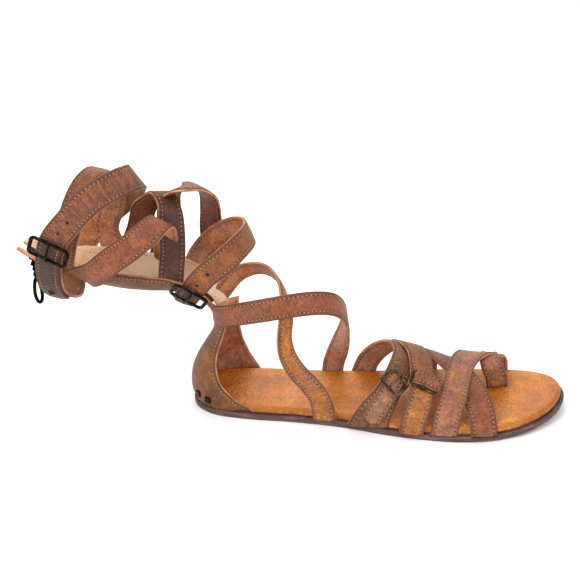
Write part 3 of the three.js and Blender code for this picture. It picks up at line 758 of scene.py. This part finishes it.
# ---------------------------------------------------------------- back stay
STAY_RADIUS = 22.0
STAY_LINE = [(18, 52), (17.6, 63), (13, 72), (4, 78), (-9, 80.8), (-26, 80.6), (-43, 81.6), (-61, 84.5),
             (-79, 89), (-97, 97), (-116, 109)]
STAY_REACH = [36, 44, 50, 60, 70, 76, 76, 76, 66, 40, 24]
STAY_ROWS = len(STAY_LINE) - 1
STAY_END = 9.85  # the row where the leather ends
ZIP_HALF = 4.2
stay_line = Route([(x, 0, z, 0, 0, 1) for x, z in STAY_LINE])


def stay_spot(k, angle, depth=0.0):
    """Place, way out and way along on the stay: k counts its rows, the angle is in degrees inward."""
    point, along, _, _ = stay_line.at(k / STAY_ROWS)
    inward = Vector((along.z, 0, -along.x))
    reach = STAY_RADIUS - depth
    a = math.radians(angle)
    where = point + inward * (STAY_RADIUS - reach * math.cos(a)) + Vector((0, reach * math.sin(a), 0))
    return where, (inward * -math.cos(a) + Vector((0, math.sin(a), 0))).normalized(), along


def on_stay(k, angle, depth=THICK / 2):
    where, out, _ = stay_spot(k, angle, depth)
    return (*where, *out)


def reach_at(k):
    i = min(len(STAY_REACH) - 2, int(k))
    a, b = STAY_REACH[i], STAY_REACH[i + 1]
    return a + (b - a) * (k - i)


ZIP_EDGE = math.degrees((ZIP_HALF + 0.4) / STAY_RADIUS)


def placket(name, side):
    """Half of the stay, with its lining on the leg side."""
    shares = spread(0, 1, 10)
    ring = [((share, 0.0), 0) for share in shares[:-1]] + [((1.0, 0.0), 1), ((1.0, THICK / 2), 1)]
    ring += [((share, THICK), 2) for share in shares[:0:-1]] + [((0.0, THICK), 1), ((0.0, THICK / 2), 1)]

    def angle(share, k):
        return side * (ZIP_EDGE + (reach_at(k) - ZIP_EDGE) * share)

    def spot(item, k):
        share, depth = item
        where, out, _ = stay_spot(k, angle(share, k), depth)
        soft = 0.35 if share in (0.0, 1.0) and depth in (0.0, THICK) else 0.0
        where -= out * (soft if depth < 1 else -soft)
        return where + out * noise.noise(where * 0.09) * 0.25

    def run(item, k, j):
        share, _ = item
        wide = (reach_at(k) - ZIP_EDGE) * math.pi / 180 * STAY_RADIUS
        return stay_line.length * k / STAY_ROWS, min(share, 1 - share) * wide

    wrapped(name, ring, spread(0, STAY_END, 90), spot, run, [stay_hide, cut_edge, cream_lining])


placket("stay_outer_half", -1)
placket("stay_inner_half", 1)

# ---------------------------------------------------------------- straps: their routes
FOOT = 0.3  # the routes go on down past SOLE_LEVEL, where their straps are cut off flat
ankle_route = Route([
    (18.2, -6, 66, -1, -0.35, 0), (22, -16, 69, -0.75, -0.8, 0), (35, -27, 75.5, -0.2, -1, 0.1),
    (55, -33, 82.2, 0, -1, 0.2), (78, -33, 87.3, 0.15, -1, 0.35), (93, -28, 87, 0.4, -0.85, 0.5),
    (102, -19, 81.5, 0.7, -0.5, 0.5), (106.5, -5, 67.5, 1, -0.1, 0.4), (104.5, 6, 50.5, 1, 0.5, 0.2),
    (99.5, 19, 31, 0.5, 1, 0.1), (95, 27.5, 16, 0.1, 1, 0), (92.5, 28.9, FOOT, 0, 1, 0)])
cross_route = Route([
    (95.5, -34, FOOT, 0, -1, 0), (94.5, -35.8, 14, 0, -1, 0), (92, -37.5, 24, 0.05, -1, 0.05),
    (86, -38, 33, 0.15, -1, 0.1), (78, -37, 41.5, 0.35, -1, 0.15), (72, -35, 51, 0.7, -1, 0.1),
    (69.5, -32.5, 62, 0.9, -0.8, 0.1), (70.5, -29.5, 76, 0.9, -0.7, 0.2), (68.5, -19, 85, 1, -0.3, 0.3),
    (62.5, -4, 90.5, 0.9, 0.3, 0.45), (54, 8, 92.5, 0.5, 0.7, 0.5), (42, 17.5, 90, 0, 1, 0.45),
    (30, 20.5, 84, -0.2, 1, 0.1), on_stay(1.7, 38)])
lower_arch = Route([
    on_stay(2, 40), (17, 26.5, 78, 0.1, 0.8, -0.6), (14.5, 32.5, 85, 0.1, 1, -0.1), (11.5, 34, 97, 0.1, 1, 0),
    (10, 34, 110, 0.15, 1, 0.05), (11, 32.5, 123, 0.3, 1, 0.2), (12.5, 23, 139, 0.5, 0.7, 0.6),
    (8.5, 9, 149.5, 0.4, 0.3, 1), (1, 2, 151, 0, 0.1, 1), (-8, 6, 144.5, -0.5, 0.4, 0.8),
    (-14, 19, 130, -0.4, 0.9, 0.3), (-18, 27, 114, -0.1, 1, 0), on_stay(4.8, 66)])
middle_arch = Route([
    on_stay(3.9, -54), (-6, -17, 99, 0.1, -1, 0), (-5.5, -11.5, 110, 0.2, -1, 0),
    (-5.5, -8, 126, 0.3, -0.9, 0.3), (-8, -2, 140.5, 0.5, -0.3, 0.8), (-13.5, 4, 146.5, 0.1, 0.2, 1),
    (-23, 12, 139.5, -0.1, 0.5, 0.8), (-31, 18.5, 130, -0.2, 0.9, 0.4), (-37, 23, 114, -0.1, 1, 0.1),
    on_stay(6.2, 66)])
shin_route = Route([
    on_stay(7.6, -48), (-57, -24.5, 99, -0.1, -1, -0.1), (-42, -29.5, 111, 0, -1, 0.2),
    (-27, -30.5, 122, 0.05, -1, 0.3), (-16.5, -27.5, 130.5, 0.15, -0.9, 0.5),
    (-9.5, -20, 135.6, 0.3, -0.1, 0.95), (-9, -13, 130, 0.3, 0.9, 0.35), (-11, -7, 117, 0, 1, 0.1),
    (-14, 5, 102, -0.05, 1, 0.1), on_stay(4.5, 50)])
upper_arch = Route([
    on_stay(8.2, -50), (-76, -22, 109, -0.1, -1, 0), (-71, -23, 124, -0.1, -1, 0.2),
    (-65.5, -19, 142, 0, -1, 0.4), (-59.5, -7, 156.5, 0, -0.6, 0.8), (-54, 7, 159.5, 0.2, 0.3, 0.9),
    (-50, 18, 149, 0.4, 0.9, 0.4), (-53, 23.5, 132, 0.1, 1, 0.1), (-60, 24.5, 113, 0, 1, 0), on_stay(6.7, 66)])
lower_cuff = Route([
    (-1.5, 0, 76, -0.28, 0, -1), (1, -14, 79.5, -0.2, -0.6, -0.7), (8.5, -23.5, 90, 0, -1, -0.2),
    (20, -30, 104, 0.1, -1, 0.1), (31, -31.5, 113.5, 0.15, -1, 0.2), (40, -23, 120.5, 0.6, -0.7, 0.3),
    (44, -6, 122.5, 0.9, -0.1, 0.4), (40, 11, 121, 0.7, 0.6, 0.3), (29, 24, 116.5, 0.2, 1, 0.15),
    (14, 29.5, 107, 0, 1, 0), (2, 26, 93, -0.1, 1, -0.2), (-1.5, 14, 80, -0.3, 0.6, -0.7)], joined=True)
upper_cuff = Route([
    (-83, 0, 73.5, 0, 0, -1), (-87, -17, 85, -0.2, -0.8, -0.6), (-84, -27, 106, -0.1, -1, -0.1),
    (-78, -31, 122.5, 0, -1, 0.1), (-65, -32, 138, 0, -1, 0.25), (-49, -30, 153, 0.1, -1, 0.35),
    (-34.5, -19, 160, 0.5, -0.7, 0.5), (-28.5, -3, 159, 0.9, 0, 0.6), (-34, 15, 150.5, 0.4, 0.9, 0.4),
    (-46, 28.5, 134, 0, 1, 0.2), (-66, 32, 116.5, 0, 1, 0), (-80, 29.5, 99, -0.1, 1, 0),
    (-85, 18, 81.5, -0.1, 0.7, -0.6)], joined=True)
rear_instep = Route([
    (124, -39.4, FOOT, 0, -1, 0), (128, -40.5, 13, 0.1, -1, 0.2), (134.5, -35.5, 23, 0.25, -0.85, 0.6),
    (140.5, -26, 31.5, 0.35, -0.7, 0.75), (145, -13, 38, 0.4, -0.4, 0.9), (146, 1, 40.5, 0.4, 0, 1),
    (141.5, 13, 39.5, 0.2, 0.5, 0.9), (131, 23.5, 31.5, 0, 0.9, 0.6), (120, 29.5, 18, -0.1, 1, 0.2),
    (113.5, 30.4, FOOT, 0, 1, 0)])
front_instep = Route([
    (153, -45, FOOT, 0, -1, 0.05), (155, -44, 13, 0, -1, 0.3), (158.2, -37, 23.5, 0.15, -0.85, 0.6),
    (159.5, -27, 31, 0.3, -0.65, 0.8), (158, -14, 36.8, 0.38, -0.4, 0.9), (155.5, -2, 40.6, 0.35, 0, 1),
    (150, 9, 40.8, 0.2, 0.4, 0.9), (143, 19, 36.5, 0.1, 0.8, 0.7)])
outer_toe = Route([
    (174, -46.6, FOOT, 0, -1, 0.1), (176, -42.5, 13.5, 0, -1, 0.4), (180, -31, 25.5, 0.1, -0.8, 0.7),
    (182.5, -16, 32.5, 0.2, -0.6, 0.9), (185, -3, 35, 0.25, -0.2, 1), (189, 9, 34.6, 0.25, 0.2, 1),
    (195.5, 20, 31, 0.2, 0.7, 0.8), (202, 29, 26, 0.1, 0.8, 0.6)])
inner_toe = Route([
    (201, -45, FOOT, 0.22, -1, 0.1), (199.5, -40, 12.5, 0.2, -1, 0.4), (195.5, -28.5, 21.5, 0.1, -0.8, 0.7),
    (188.5, -16, 28, 0.2, -0.6, 0.8), (180, -4, 32, 0.3, -0.3, 1), (171.5, 6.5, 33.3, 0.3, 0.1, 1),
    (165.5, 17, 31.5, 0.2, 0.6, 0.8), (161.5, 27.5, 24, 0, 0.9, 0.5), (159.5, 35, 14, 0, 1, 0.2),
    (159.5, 36.7, FOOT, 0, 1, 0)])
toe_loop = Route([
    (211.5, 41.1, FOOT, 0, 1, 0), (210.5, 38.8, 15, 0, 1, 0.3), (208, 32, 23.5, 0.1, 0.8, 0.6),
    (205, 23, 28.8, 0.2, 0.3, 1), (203.5, 15.5, 29.3, 0.3, -0.3, 1), (205.5, 11.8, 25, 0.25, -1, 0.3),
    (208.5, 11.5, 19, 0.1, -1, 0), (210, 11.5, 10.2, 0, -1, 0)])

# ---------------------------------------------------------------- straps: the pieces
shaft_sewing, foot_sewing = Sewing(), Sewing()


def sewn(sewing, name, route, width, start=0.0, end=1.0, lift=0.0, thick=THICK, faces=(1, -1), replaced=None,
         **look):
    """A strap with its seams. width is a number or a rule of the length along."""
    wide = width if callable(width) else (lambda run: width)
    piece = strap(name, route, wide, start=start, end=end, lift=lift, thick=thick, **look)
    sewing.strap(name, route, wide, start, end, lift, thick, faces)
    if replaced:
        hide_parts(replaced)


def tab(sewing, name, route, width, **look):
    """A single strap layer that lies on another one, sewn on its face."""
    sewn(sewing, name, route, width, faces=(1,), slot="leather_mauve", **look)


def cross_width(run):
    return 12 + 4 * max(0.0, 1 - cross_route.row_at(run) / 0.35)


def rear_width(run):
    return 16.5 + 12.5 * max(0.0, 1 - rear_instep.row_at(run) / 0.3) ** 1.3


sewn(foot_sewing, "ankle_strap", ankle_route, 15.2, face=brown, back=pink_lining, start=0.03)
sewn(foot_sewing, "cross_strap", cross_route, cross_width, face=tan)
sewn(shaft_sewing, "lower_arch", lower_arch, 16, face=brown, back=brown)
sewn(shaft_sewing, "middle_arch", middle_arch, 16.5, face=shaded, back=brown)
sewn(shaft_sewing, "shin_strap", shin_route, 17.5, face=brown)
sewn(shaft_sewing, "upper_arch", upper_arch, 16.5, face=brown)
sewn(shaft_sewing, "lower_cuff_band", lower_cuff, 16, face=russet, slot="leather_mauve", replaced="lower_cuff")
sewn(shaft_sewing, "upper_cuff_band", upper_cuff, 18, face=creased, slot="leather_mauve", replaced="upper_cuff")
sewn(foot_sewing, "rear_instep_strap", rear_instep, rear_width, face=textured, back=pink_lining,
     slot="leather_mauve", replaced="instep_straps")
sewn(foot_sewing, "front_instep_strap", front_instep, 16.5, face=brown, slot="leather_mauve")
sewn(foot_sewing, "outer_toe_strap", outer_toe, 17.5, face=mauve, replaced="toe_straps")
sewn(foot_sewing, "inner_toe_strap", inner_toe, 17.5, face=brown, back=pink_lining)
sewn(foot_sewing, "toe_loop_strap", toe_loop, 14.5, face=mauve, back=pink_lining)

# the buckled tabs that lie on the instep straps
rear_low, rear_high = rear_instep.run_at(0.07), rear_instep.run_at(0.37)
tab(foot_sewing, "rear_instep_tab", rear_instep, 13.2, start=0.07, end=0.37, lift=2.1, thick=1.7, face=mauve,
    tips=[(rear_low, "round", 3.0), (rear_high, "round", 2.5)])
tab(foot_sewing, "front_instep_tab", front_instep, 15.2, start=0.03, end=0.50, lift=2.0, thick=1.6, face=tan,
    tips=[(front_instep.run_at(0.50), "point", 5.0)])

# stitches across the tabs' lower ends
for route, run, wide, lift in ((front_instep, front_instep.run_at(0.09), 10.6, 2.95),
                               (rear_instep, rear_low + 2.6, 8.4, 3.1)):
    point, _, look, across = route.at(route.row_at(run))
    foot_sewing.path([(point + across * wide * share + look * lift, look) for share in spread(-0.5, 0.5, 8)])

# the cuffs' buckle tabs, in near-black leather and edges of painted shade
for name, route, low, high, wide, round_end in (("lower_cuff_tab", lower_cuff, 1.0 / 12, 2.25 / 12, 14, 3.0),
                                                 ("upper_cuff_tab", upper_cuff, 0.45 / 13, 3.2 / 13, 16, 3.5)):
    frames = [route.at(t) for t in spread(low, high, 10)]
    part = Route([(*point, *look) for point, _, look, _ in frames])
    tab(shaft_sewing, name, part, wide, face=shaded_tab_hide, back=shaded_tab_hide, edge=shaded_edge, lift=2.25, thick=2.0,
        tips=[(0.0, "round", round_end), (part.length, "round", 2.0)])

# counter seams: along both front edges and the top
for side in (-1, 1):
    line = [(z, counter_reach(z, side) - side * 2.6) for z in spread(7, 64, 38)]
    for depth, sign in ((0.0, 1), (THICK, -1)):
        foot_sewing.path([(counter_spot(z, length, depth), counter_out(z, length) * sign)
                          for z, length in line])
line = [(TOP - 2.6, counter_reach(TOP - 3, u) * 0.97) for u in spread(-1, 1, 40)]
foot_sewing.path([(counter_spot(z, length, 0.0), counter_out(z, length)) for z, length in line])

# stay seams: beside the zip and along both edges
for side in (-1, 1):
    for edge_angle in (lambda k: ZIP_EDGE + 5, lambda k: reach_at(k) - 6):
        for depth, sign in ((0.0, 1), (THICK, -1)):
            spots = [stay_spot(k, side * edge_angle(k), depth) for k in spread(0.4, 9.6, 120)]
            shaft_sewing.path([(where, out * sign) for where, out, _ in spots])


# ---------------------------------------------------------------- wire, buckles, zip
ROD_SIDES = 10
WIRE_STEP = 2.5  # from one ring of a straight wire's faces to the next
BUCKLE_CORNER = 1.8  # a buckle's corner radius, in radii of its wire


def rod(name, points, radius, material, joined=False, flat=1.0, up=None, taper=None, body=BODY):
    """A round or flattened bar along points."""
    bm = bmesh.new()
    count = len(points)
    rings = []
    for i, point in enumerate(points):
        after = points[(i + 1) % count] if joined or i + 1 < count else point
        before = points[i - 1] if joined or i > 0 else point
        along = (after - before).normalized()
        level = (up - along * up.dot(along)).normalized() if up else along.orthogonal().normalized()
        side = along.cross(level)
        size = radius * (taper(i / (count - 1)) if taper else 1.0)
        made = bmesh.ops.create_circle(bm, cap_ends=False, radius=1.0, segments=ROD_SIDES)
        rings.append(list({edge for vertex in made["verts"] for edge in vertex.link_edges}))
        for vertex in made["verts"]:
            vertex.co = place(point + side * vertex.co.x * size + level * vertex.co.y * size * flat)
    pairs = list(zip(rings, rings[1:])) + ([(rings[-1], rings[0])] if joined else [])
    for a, b in pairs:
        bmesh.ops.bridge_loops(bm, edges=a + b)
    if not joined:
        ends = [edge for edge in bm.edges if edge.is_boundary]
        bmesh.ops.holes_fill(bm, edges=ends, sides=0)
    bmesh.ops.recalc_face_normals(bm, faces=bm.faces)
    return keep(bm, name, [material], body=body)


class Seat:
    """A buckle's own place on a strap: its x runs along the strap, z away from it."""

    def __init__(self, route, t, lift, turn=0.0):
        point, along, self.out, across = route.at(t)
        a = math.radians(turn)
        self.along = along * math.cos(a) - across * math.sin(a)
        self.side = self.out.cross(self.along)
        self.centre = point + self.out * lift

    def spot(self, x, y, z=0.0):
        return self.centre + self.along * x + self.side * y + self.out * z


def buckle(name, seat, length, width, wire, material):
    """A wire frame with round corners and its prong."""
    corner = wire * BUCKLE_CORNER
    hx, hy = length / 2 - corner, width / 2 - corner
    points = []
    for quarter, (cx, cy) in enumerate([(hx, hy), (-hx, hy), (-hx, -hy), (hx, -hy)]):
        for share in spread(0, 1, 6):
            turn = (quarter + share) * math.pi / 2
            points.append(seat.spot(cx + corner * math.cos(turn), cy + corner * math.sin(turn)))
    full = []
    for a, b in zip(points, points[1:] + points[:1]):
        full.append(a)
        pieces = int((b - a).length / WIRE_STEP)
        full += [a.lerp(b, k / pieces) for k in range(1, pieces)]
    ring = rod(name + "_ring", full, wire, material, joined=True, up=seat.out, flat=0.85)
    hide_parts(name + "_frame")
    reach = length / 2
    line = [seat.spot(x, 0, z) for x, z in (
        (-reach - 1.1, 0.0), (-reach - 0.9, wire * 1.25), (-reach + 0.2, wire * 1.8),
        (-reach * 0.4, wire * 2.1), (reach * 0.4, wire * 2.0), (reach, wire * 1.6), (reach + 2.2, wire * 1.1))]
    prong = rod(name + "_tongue", line, 0.78, material, up=seat.out, flat=0.8,
                taper=lambda s: 1.0 if s < 0.75 else 1.0 - 0.5 * (s - 0.75) / 0.25)
    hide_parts(name + "_prong")


buckle("lower_cuff_buckle", Seat(lower_cuff, 1.85 / 12, 3.4), 12, 22.5, 1.3, gunmetal)
buckle("upper_cuff_buckle", Seat(upper_cuff, 2.75 / 13, 3.4), 12.5, 25, 1.3, gunmetal)
buckle("rear_instep_buckle", Seat(rear_instep, 0.315, 5.0, -16), 11.5, 15.5, 0.9, antique)
front_seat = Seat(front_instep, 0.42, 4.4, -14)
buckle("front_instep_buckle", front_seat, 10.5, 18, 0.9, antique)

# the front strap's tongue, drawn through its buckle to the toe side
tongue = Route([(*front_seat.spot(1.4, y, 1.7 - 0.012 * y * y), *front_seat.out)
                for y in (7.5, 4, 0, -4, -8, -12.5)])
tab(foot_sewing, "front_instep_tongue", tongue, 10.8, face=brown, thick=1.6, floor=False,
    tips=[(tongue.length, "point", 3.2)])


def many(name, shapes, material):
    """Small boxes with eased edges, each from its centre, its three directions and its size."""
    bm = bmesh.new()
    for centre, (a, b, c), (la, lb, lc), ease in shapes:
        turn = Matrix((a * la * MM, b * lb * MM, c * lc * MM)).transposed().to_4x4()
        turn.translation = place(centre)
        made = bmesh.ops.create_cube(bm, size=1.0, matrix=turn)
        edges = list({edge for vertex in made["verts"] for edge in vertex.link_edges})
        if ease:
            bmesh.ops.bevel(bm, geom=edges, offset=ease * MM, segments=2, profile=0.5, affect="EDGES",
                            material=-1)
    bmesh.ops.recalc_face_normals(bm, faces=bm.faces)
    return keep(bm, name, [material], smooth=False)


# studs on the counter
for name, z, length in (("heel_stud_rear", 12.5, -24), ("heel_stud_front", 11.0, -33)):
    out = counter_out(z, length)
    side = Vector((-out.y, out.x, 0)).normalized()
    up = out.cross(side)
    spot = counter_spot(z, length, 0)
    stud = many(name + "_cap", [(spot + out * 0.55, (side, up, out), (4.4, 4.4, 1.3), 0.35)], gunmetal)
    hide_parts(name)


def holes(name, places, radius=1.25):
    """Punched holes as thin discs of painted shade laid on leather, each from its place and its way out."""
    bm = bmesh.new()
    for centre, out in places:
        turn = Matrix.Translation(place(centre)) @ out.to_track_quat("Z", "Y").to_matrix().to_4x4()
        bmesh.ops.create_cone(bm, cap_ends=True, segments=16, radius1=radius * MM, radius2=radius * 0.8 * MM,
                              depth=0.3 * MM, matrix=turn)
    keep(bm, name, [hole_shade], smooth=False)


def on_strap(route, run, lift):
    point, _, look, _ = route.at(route.row_at(run))
    return point + look * lift, look


for name, route, places in (("lower_cuff_holes", lower_cuff, (3.18 / 12, 2.46 / 12)),
                            ("upper_cuff_holes", upper_cuff, (4.0 / 13, 3.5 / 13))):
    holes(name, [on_strap(route, route.run_at(t), THICK / 2 + 0.35) for t in places])
eyelet_spot, eyelet_out = on_strap(upper_cuff, upper_cuff.run_at(1.0 / 13), 3.5)
turn = eyelet_out.to_track_quat("Z", "Y")
eyelet = [eyelet_spot + turn @ Vector((2.0 * math.cos(a), 2.0 * math.sin(a), 0))
          for a in (i * math.pi / 10 for i in range(20))]
rod("upper_cuff_eyelet", eyelet, 0.55, antique, joined=True, up=eyelet_out)

# a rectangle of stitches on the stay's lining near its top
patch_sewing = Sewing()
corners = [(7.1, 22), (8.35, 22), (8.2, 52), (7.1, 60), (7.1, 22)]
spots = []
for (k0, a0), (k1, a1) in zip(corners, corners[1:]):
    side = list(zip(spread(k0, k1, 12), spread(a0, a1, 12)))
    spots += [stay_spot(k, a, THICK) for k, a in side[:-1]]
patch_sewing.path([(where, -out) for where, out, _ in spots])
patch_sewing.finish("stay_patch_stitches", brown_thread, "leather_brown")

shaft_sewing.finish("shaft_stitches", cream_thread, "leather_brown")
foot_sewing.finish("foot_stitches", cream_thread, "leather_brown")

# zip: tape, teeth and slider
ZIP_START, ZIP_END = 1.75, 9.6
rows = spread(ZIP_START, ZIP_END, 90)
ring = [((a, 0.6), 0) for a in (-1, -0.5, 0.0, 0.5, 1)] + [((a, 1.5), 0) for a in (1, 0.5, 0.0, -0.5, -1)]
zip_angle = math.degrees(ZIP_HALF / STAY_RADIUS)
zip_tape = wrapped("zip_tape_band", ring, rows, lambda item, k: stay_spot(k, item[0] * zip_angle, item[1])[0],
                   lambda item, k, j: (k * 14, 10), [tape, tape, tape])
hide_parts("zip")
TOOTH_PITCH = 1.5
teeth = []
count = int(stay_line.length * (ZIP_END - ZIP_START) / STAY_ROWS / TOOTH_PITCH)
for i in range(count):
    k = ZIP_START + (ZIP_END - ZIP_START) * (i + 0.5) / count
    where, out, along = stay_spot(k, 0, 0.45)
    side = along.cross(out).normalized() * (1 if i % 2 else -1)
    teeth.append((where + side * 0.75, (along, side, out), (0.95, 2.3, 1.1), 0))
many("zip_teeth", teeth, black)

SLIDER_AT, PIN_DROP = 9.27, 5.4
root, out, along = stay_spot(SLIDER_AT, 0)
side = Vector((0, 1, 0))
slider = many("zip_slider_body", [
    (root + out * 1.6, (along, side, out), (9, 7.4, 2.2), 0.6),
    (root + out * 4.4 + side * 2.1, (along, side, out), (3.4, 1.1, 4.6), 0.3),
    (root + out * 4.4 - side * 2.1, (along, side, out), (3.4, 1.1, 4.6), 0.3)], black)
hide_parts("zip_slider")
pin = root + out * PIN_DROP
rod("zip_slider_pin", [pin + side * y for y in (-2.6, -1.0, 1.0, 2.6)], 0.9, black)


def loop(centre, half_wide, half_high, steps, narrow=0.0):
    """Points round an upright oval in the plane of the heel, narrower at its top if asked."""
    points = []
    for i in range(steps):
        a = 2 * math.pi * i / steps
        x, z = half_wide * math.cos(a), half_high * math.sin(a)
        x *= 1 - narrow * (0.5 + 0.5 * math.sin(a))
        points.append(centre + Vector((x, 0, z)))
    return points


rod("zip_pull_eye", loop(pin - Vector((0, 0, 0.2)), 1.85, 1.95, 20), 0.55, black, joined=True,
    up=side, body="pull")
rod("zip_pull_link", [pin - Vector((0, 0, z)) for z in (2.0, 3.0, 4.0, 5.0, 6.0, 7.0, 8.2, 9.4, 10.2)], 1.0,
    black, up=side, body="pull",
    taper=lambda s: 1.1 + 0.9 * abs(math.sin(s * math.pi * 2)) ** 1.5)
pull = rod("zip_pull_loop", loop(pin - Vector((0, 0, 20.0)), 3.0, 8.9, 36, 0.35), 1.25, black,
           joined=True, up=side, body="pull")
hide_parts("zip_pull")

# ---------------------------------------------------------------- studio
bm = bmesh.new()
bmesh.ops.create_grid(bm, x_segments=2, y_segments=2, size=3.0)
floor_mesh = bpy.data.meshes.new("studio_floor")
bm.to_mesh(floor_mesh)
bm.free()
floor = shown("studio_floor", floor_mesh)
floor_paint, n, shader, _ = blank("floor_paint")
n.fill(shader, Base_Color=(0.98, 0.98, 0.98, 1), Roughness=0.9)
floor_mesh.materials.append(floor_paint)

world = bpy.data.worlds.new("studio")
world.use_nodes = True
Nodes(world.node_tree).fill(world.node_tree.nodes["Background"], Color=(1.0, 1.0, 1.0, 1), Strength=1.0)
bpy.context.scene.world = world
bpy.context.scene.view_settings.view_transform = "Standard"


def lamp(name, spot, aim, size, power):
    data = bpy.data.lights.new(name, "AREA")
    data.size, data.energy = size, power
    light = shown(name, data)
    light.location = spot
    light.rotation_mode = "QUATERNION"
    light.rotation_quaternion = (Vector(aim) - Vector(spot)).to_track_quat("-Z", "Y")


lamp("key_light", (-0.45, -0.75, 1.05), (0.03, 0, 0.05), 0.7, 7.5)
lamp("fill_light", (0.9, -0.8, 0.5), (0.05, 0, 0.05), 0.9, 3)
lamp("back_light", (-0.1, 0.9, 0.8), (0.03, 0, 0.08), 0.7, 5)

AZIMUTH, ELEVATION, ROLL = 0.1150157, 0.4757197, -0.0101917
DISTANCE, AIM = 0.726, Vector((0.0624086, 0.0, 0.0421614))
aimed = (Matrix.Rotation(AZIMUTH, 3, "Z") @ Matrix.Rotation(math.pi / 2 - ELEVATION, 3, "X")
         @ Matrix.Rotation(ROLL, 3, "Z"))
camera_data = bpy.data.cameras.new("camera")
camera_data.sensor_width = 36.0
camera_data.lens = 66.42
camera_data.shift_x, camera_data.shift_y = -0.0741, 0.0966
camera_data.clip_start, camera_data.clip_end = 0.01, 20.0
camera = shown("camera", camera_data)
camera.rotation_mode = "QUATERNION"
camera.rotation_quaternion = aimed.to_quaternion()
camera.location = AIM + aimed.col[2] * DISTANCE
bpy.context.scene.camera = camera
